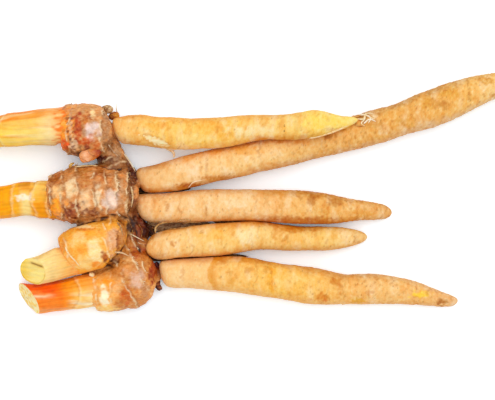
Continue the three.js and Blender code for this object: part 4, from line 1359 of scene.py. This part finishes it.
def strand(points, width, flat, rings, spokes):
    """A tapering band: path + width * taper * (side cos a + flat * up sin a)."""
    path = smooth_path(points, rings)
    ahead = np.gradient(path, axis=0)
    ahead /= np.linalg.norm(ahead, axis=1, keepdims=True)
    side = np.cross((0, 0, 1), ahead)
    side /= np.maximum(np.linalg.norm(side, axis=1, keepdims=True), 1e-6)
    up = np.cross(ahead, side)
    share = np.linspace(0, 1, rings)
    taper = np.minimum(1, np.sqrt(1 - (2 * share - 1) ** 4) + 0.05) * (1 - 0.55 * share)
    angle = full_turn(spokes)
    turn = side[:, None] * np.cos(angle)[:, None] + flat * up[:, None] * np.sin(angle)[:, None]
    band = path[:, None] + width * taper[:, None, None] * turn
    return closed(band, path[[0, -1]]), grid_faces(rings, spokes)


def scraps(name, strands, stands_for=(), rings=28, spokes=8):
    """Joins strands, each (points, width, flat, colour), into one piece."""
    points, faces = joined([strand(*shape, rings, spokes) for *shape, _ in strands])
    tint = np.repeat([pigment(colour) for *_, colour in strands], rings * spokes + 2, axis=0)
    make_piece(name, points, faces, tint, points, dry_scale, stands_for)


# %% Scraps on the rhizome
NEAR = 0.4  # mm, a little more than the skin's points are apart


def on_rind(along, across, lift=0.0):
    """The highest point of the rind at these shares of its box, lifted by some mm."""
    x, y, z = at(along, across, 0.3)
    near = np.hypot(skin[:, 0] - x, skin[:, 1] - y) < NEAR
    return np.array([x, y, (skin[near, 2].max() if near.any() else z) + lift])


def over_rind(rind_shares, width, flat, colour, air_shares=()):
    """A strand that lies on the rind through some shares of its box, then stands free through others."""
    path = [on_rind(*share) for share in rind_shares] + [at(*share) for share in air_shares]
    return path, width, flat, colour


scraps("torn_sheaths", [
    over_rind([(0.67, 0.76, 0.2)], 0.35, 0.35, "#e2d0b0", [(0.73, 0.715, 0.6), (0.775, 0.67, 0.55)]),
    over_rind([(0.2, 0.688, 0.1)], 0.7, 0.4, "#d2a050", [(0.215, 0.705, 0.68), (0.24, 0.713, 0.6)]),
    over_rind([(0.61, 0.945, 0.1)], 0.22, 0.6, "#f8ecd4", [(0.607, 0.975, 0.62), (0.61, 0.998, 0.55)]),
    over_rind([(0.24, 0.693, 0.1), (0.36, 0.7, 0.25), (0.45, 0.7, 0.1)], 0.3, 0.4, "#e6c48c"),
    over_rind([(0.62, 0.43, 0.1), (0.65, 0.41, 0.2), (0.67, 0.37, 0.1)], 0.4, 0.35, "#b48a5c"),
    over_rind([(0.17, 0.32), (0.2, 0.285, 0.05), (0.25, 0.255, 0.05), (0.3, 0.22)], 0.4, 0.25, "#f9d6a0"),
    over_rind([(0.13, 0.25), (0.18, 0.235, 0.05), (0.24, 0.195)], 0.3, 0.35, "#ffe0b0"),
    over_rind([(0.6, 0.29), (0.66, 0.285, 0.1), (0.72, 0.27)], 0.4, 0.35, "#f0cfa4"),
    over_rind([(0.74, 0.6, 0.1), (0.755, 0.55, 0.2), (0.74, 0.5, 0.1)], 0.4, 0.4, "#d9b584"),
    over_rind([(0.54, 0.8, 0.1), (0.585, 0.765, 0.3), (0.63, 0.74, 0.1)], 0.3, 0.35, "#c8a480"),
])
scraps("hollow_hairs", [
    over_rind([(0.73, 0.375, 0.3), (0.78, 0.36, 0.9)], 0.24, 0.8, "#f2dcb6", [(0.855, 0.34, 0.6)]),
    over_rind([(0.79, 0.335, 0.3), (0.82, 0.328, 0.7)], 0.2, 0.8, "#d8b88c", [(0.85, 0.325, 0.6)]),
    over_rind([(0.7, 0.44, 0.2), (0.74, 0.405, 0.8), (0.75, 0.36, 0.4)], 0.2, 0.8, "#8a5a30"),
    over_rind([(0.8, 0.42, 0.2), (0.83, 0.39, 0.6), (0.82, 0.35, 0.3)], 0.16, 0.8, "#a8743c"),
])
scraps("brown_spike", [
    over_rind([], 1.1, 0.7, "#8a4814", [(0.92, 0.17, 0.3), (0.965, 0.13, 0.26), (1.0, 0.105, 0.2)]),
    over_rind([], 1.2, 0.8, "#5a280c", [(0.95, 0.24, 0.25), (0.965, 0.18, 0.22), (0.97, 0.11, 0.2)]),
    over_rind([], 0.9, 0.8, "#6e3410", [(0.93, 0.15, 0.2), (0.96, 0.115, 0.18), (0.985, 0.1, 0.15)]),
])

# %% [markdown]
# The crests of the rings are frayed: short flat fibres stand off them. Each starts at a random
# point of a crest, and runs over the rind and a little away from it.

# %% Frayed ring edges
FRAY_COUNT = 170
rng = np.random.default_rng(95)
open_crest = np.flatnonzero((crest * broken * (coarse > 0.5) > 0.45) & (normal[:, 2] > -0.2))
chosen = rng.choice(open_crest, FRAY_COUNT, replace=False)
frays = []
for place, outwards in zip(skin[chosen], normal[chosen]):
    along = rng.normal(size=3) * (0.5, 1, 0.6) + (0.8, 0, 0)
    along -= outwards * (along @ outwards)
    reach = rng.uniform(0.5, 1.3) * along / np.linalg.norm(along)
    path = [place - 0.1 * outwards, place + 0.5 * reach + 0.22 * outwards,
            place + reach + 0.12 * outwards]
    frays.append((path, rng.uniform(0.07, 0.17), 0.4, rng.choice(["#f6deb4", "#e3bd88", "#c0905a"])))
scraps("frayed_rings", frays, rings=6, spokes=5)

# %% Rootlets and fibres on the roots
upper, long_root, middle, small = (spindles[name] for name in ROOTS[:4])


def beside(name, shares, width, flat, colour):
    """A strand through points given as shares of an organ's box."""
    return [in_box(name, *share) for share in shares], width, flat, colour


# dark husks laid in the gaps between the roots, as painted shade there
scraps("gap_shade_husks", [
    beside("finger_root_small", [(-0.009, 0.93, 0.26), (0.073, 0.86, 0.2), (0.185, 0.9, 0.17),
                                 (0.286, 0.95, 0.14)], 2.3, 0.3, "#a47c56"),
    beside("finger_root_small", [(-0.02, 0.796, 0.277), (0.015, 0.708, 0.23), (0.045, 0.562, 0.17)],
           1.8, 0.35, "#5e3616"),
    beside("finger_root_small", [(-0.028, 0.927, 0.354), (0.01, 0.854, 0.308), (0.043, 0.796, 0.246)],
           1.3, 0.35, "#6e4420"),
    beside("finger_root_small", [(0.3, 1.0, 0.16), (0.45, 1.04, 0.14), (0.62, 1.06, 0.12),
                                 (0.82, 1.05, 0.1)], 1.6, 0.3, "#8a6038"),
    beside("finger_root_lower", [(-0.05, 0.98, 0.25), (0.02, 1.0, 0.2), (0.12, 1.02, 0.16),
                                 (0.3, 1.0, 0.12)], 1.9, 0.35, "#6a4424"),
    beside("finger_root_middle", [(-0.02, 0.97, 0.22), (0.04, 0.99, 0.2), (0.12, 1.0, 0.16),
                                  (0.22, 1.02, 0.12)], 1.8, 0.35, "#6e4826"),
])
scraps("rootlet_upper_skin", [
    beside("rootlet_upper", [(0.0, 0.98, 0.6), (0.45, 0.86, 0.7), (0.82, 0.5, 0.5), (0.8, 0.05, 0.3)],
           0.8, 0.9, "#fbdcae"),
], ["rootlet_upper"])
scraps("rootlet_middle_skin", [
    beside("rootlet_middle", [(0.1, 0.02, 0.5), (0.12, 0.5, 0.6), (0.4, 0.86, 0.6), (1.0, 0.98, 0.4)],
           0.42, 0.9, "#c89a60"),
], ["rootlet_middle"])
scraps("curled_fibres", [
    (on_root(long_root, [0.535, 0.55, 0.562, 0.556], [0.9, 0.8, 0.55, 0.3], 0.4), 0.4, 0.5, "#fbe8c4"),
    (on_root(long_root, [0.53, 0.545, 0.552, 0.57], [0.7, 0.6, 0.85, 0.75], 0.5), 0.34, 0.5, "#fae0ac"),
    (on_root(long_root, [0.545, 0.56, 0.575], [0.35, 0.5, 0.3], 0.4), 0.34, 0.5, "#fbe8c8"),
    (on_root(long_root, [0.525, 0.53, 0.545], [0.55, 0.35, 0.2], 0.3), 0.4, 0.5, "#c98c44"),
    (on_root(long_root, [0.55, 0.547, 0.54, 0.548], [0.75, 0.55, 0.4, 0.2], 0.5), 0.34, 0.5, "#fbe4b8"),
    (on_root(long_root, [0.558, 0.57, 0.58], [0.65, 0.5, 0.6], 0.35), 0.3, 0.5, "#f6d4a0"),
    (on_root(long_root, [0.52, 0.53, 0.54], [0.98, 0.85, 0.88], 0.3), 0.3, 0.5, "#e0a85c"),
    (on_root(long_root, [0.125, 0.14, 0.165], [-0.95, -0.7, -0.72], 0.2), 0.25, 0.6, "#f9dfb8"),
    (on_root(upper, [0.8, 0.9, 0.99], [-0.95, -0.85, -0.5], 0.25), 0.5, 0.3, "#f6d49c"),
    (on_root(upper, [0.2, 0.26, 0.33], [-0.95, -1.0, -0.9], 0.15), 0.35, 0.4, "#fbe0b0"),
    (on_root(middle, [0.16, 0.2, 0.22, 0.2], [-0.9, -0.75, -0.85, -0.98], 0.3), 0.25, 0.6, "#c89a60"),
    (on_root(middle, [0.19, 0.22, 0.26], [-0.98, -0.92, -0.98], 0.4), 0.22, 0.6, "#b07c44"),
    (on_root(small, [0.1, 0.16, 0.22], [0.98, 0.9, 0.97], 0.4), 0.22, 0.6, "#a8743c"),
])
# a dark rootlet laid low between the small and the middle root, as painted shade in that gap
under_middle = [(0.1, 0.04, 0.06), (0.2, 0.0, 0.1), (0.3, -0.02, 0.08)]
between = np.array([in_box("finger_root_small", 0.0, 1.0, 0.1),
                    *(in_box("finger_root_middle", *share) for share in under_middle)])
scraps("shade_rootlet", [
    (between, 1.1, 0.8, "#5a3a20"),
    (between + (1.5, 0.5, 0.4), 0.5, 0.8, "#7a5028"),
])
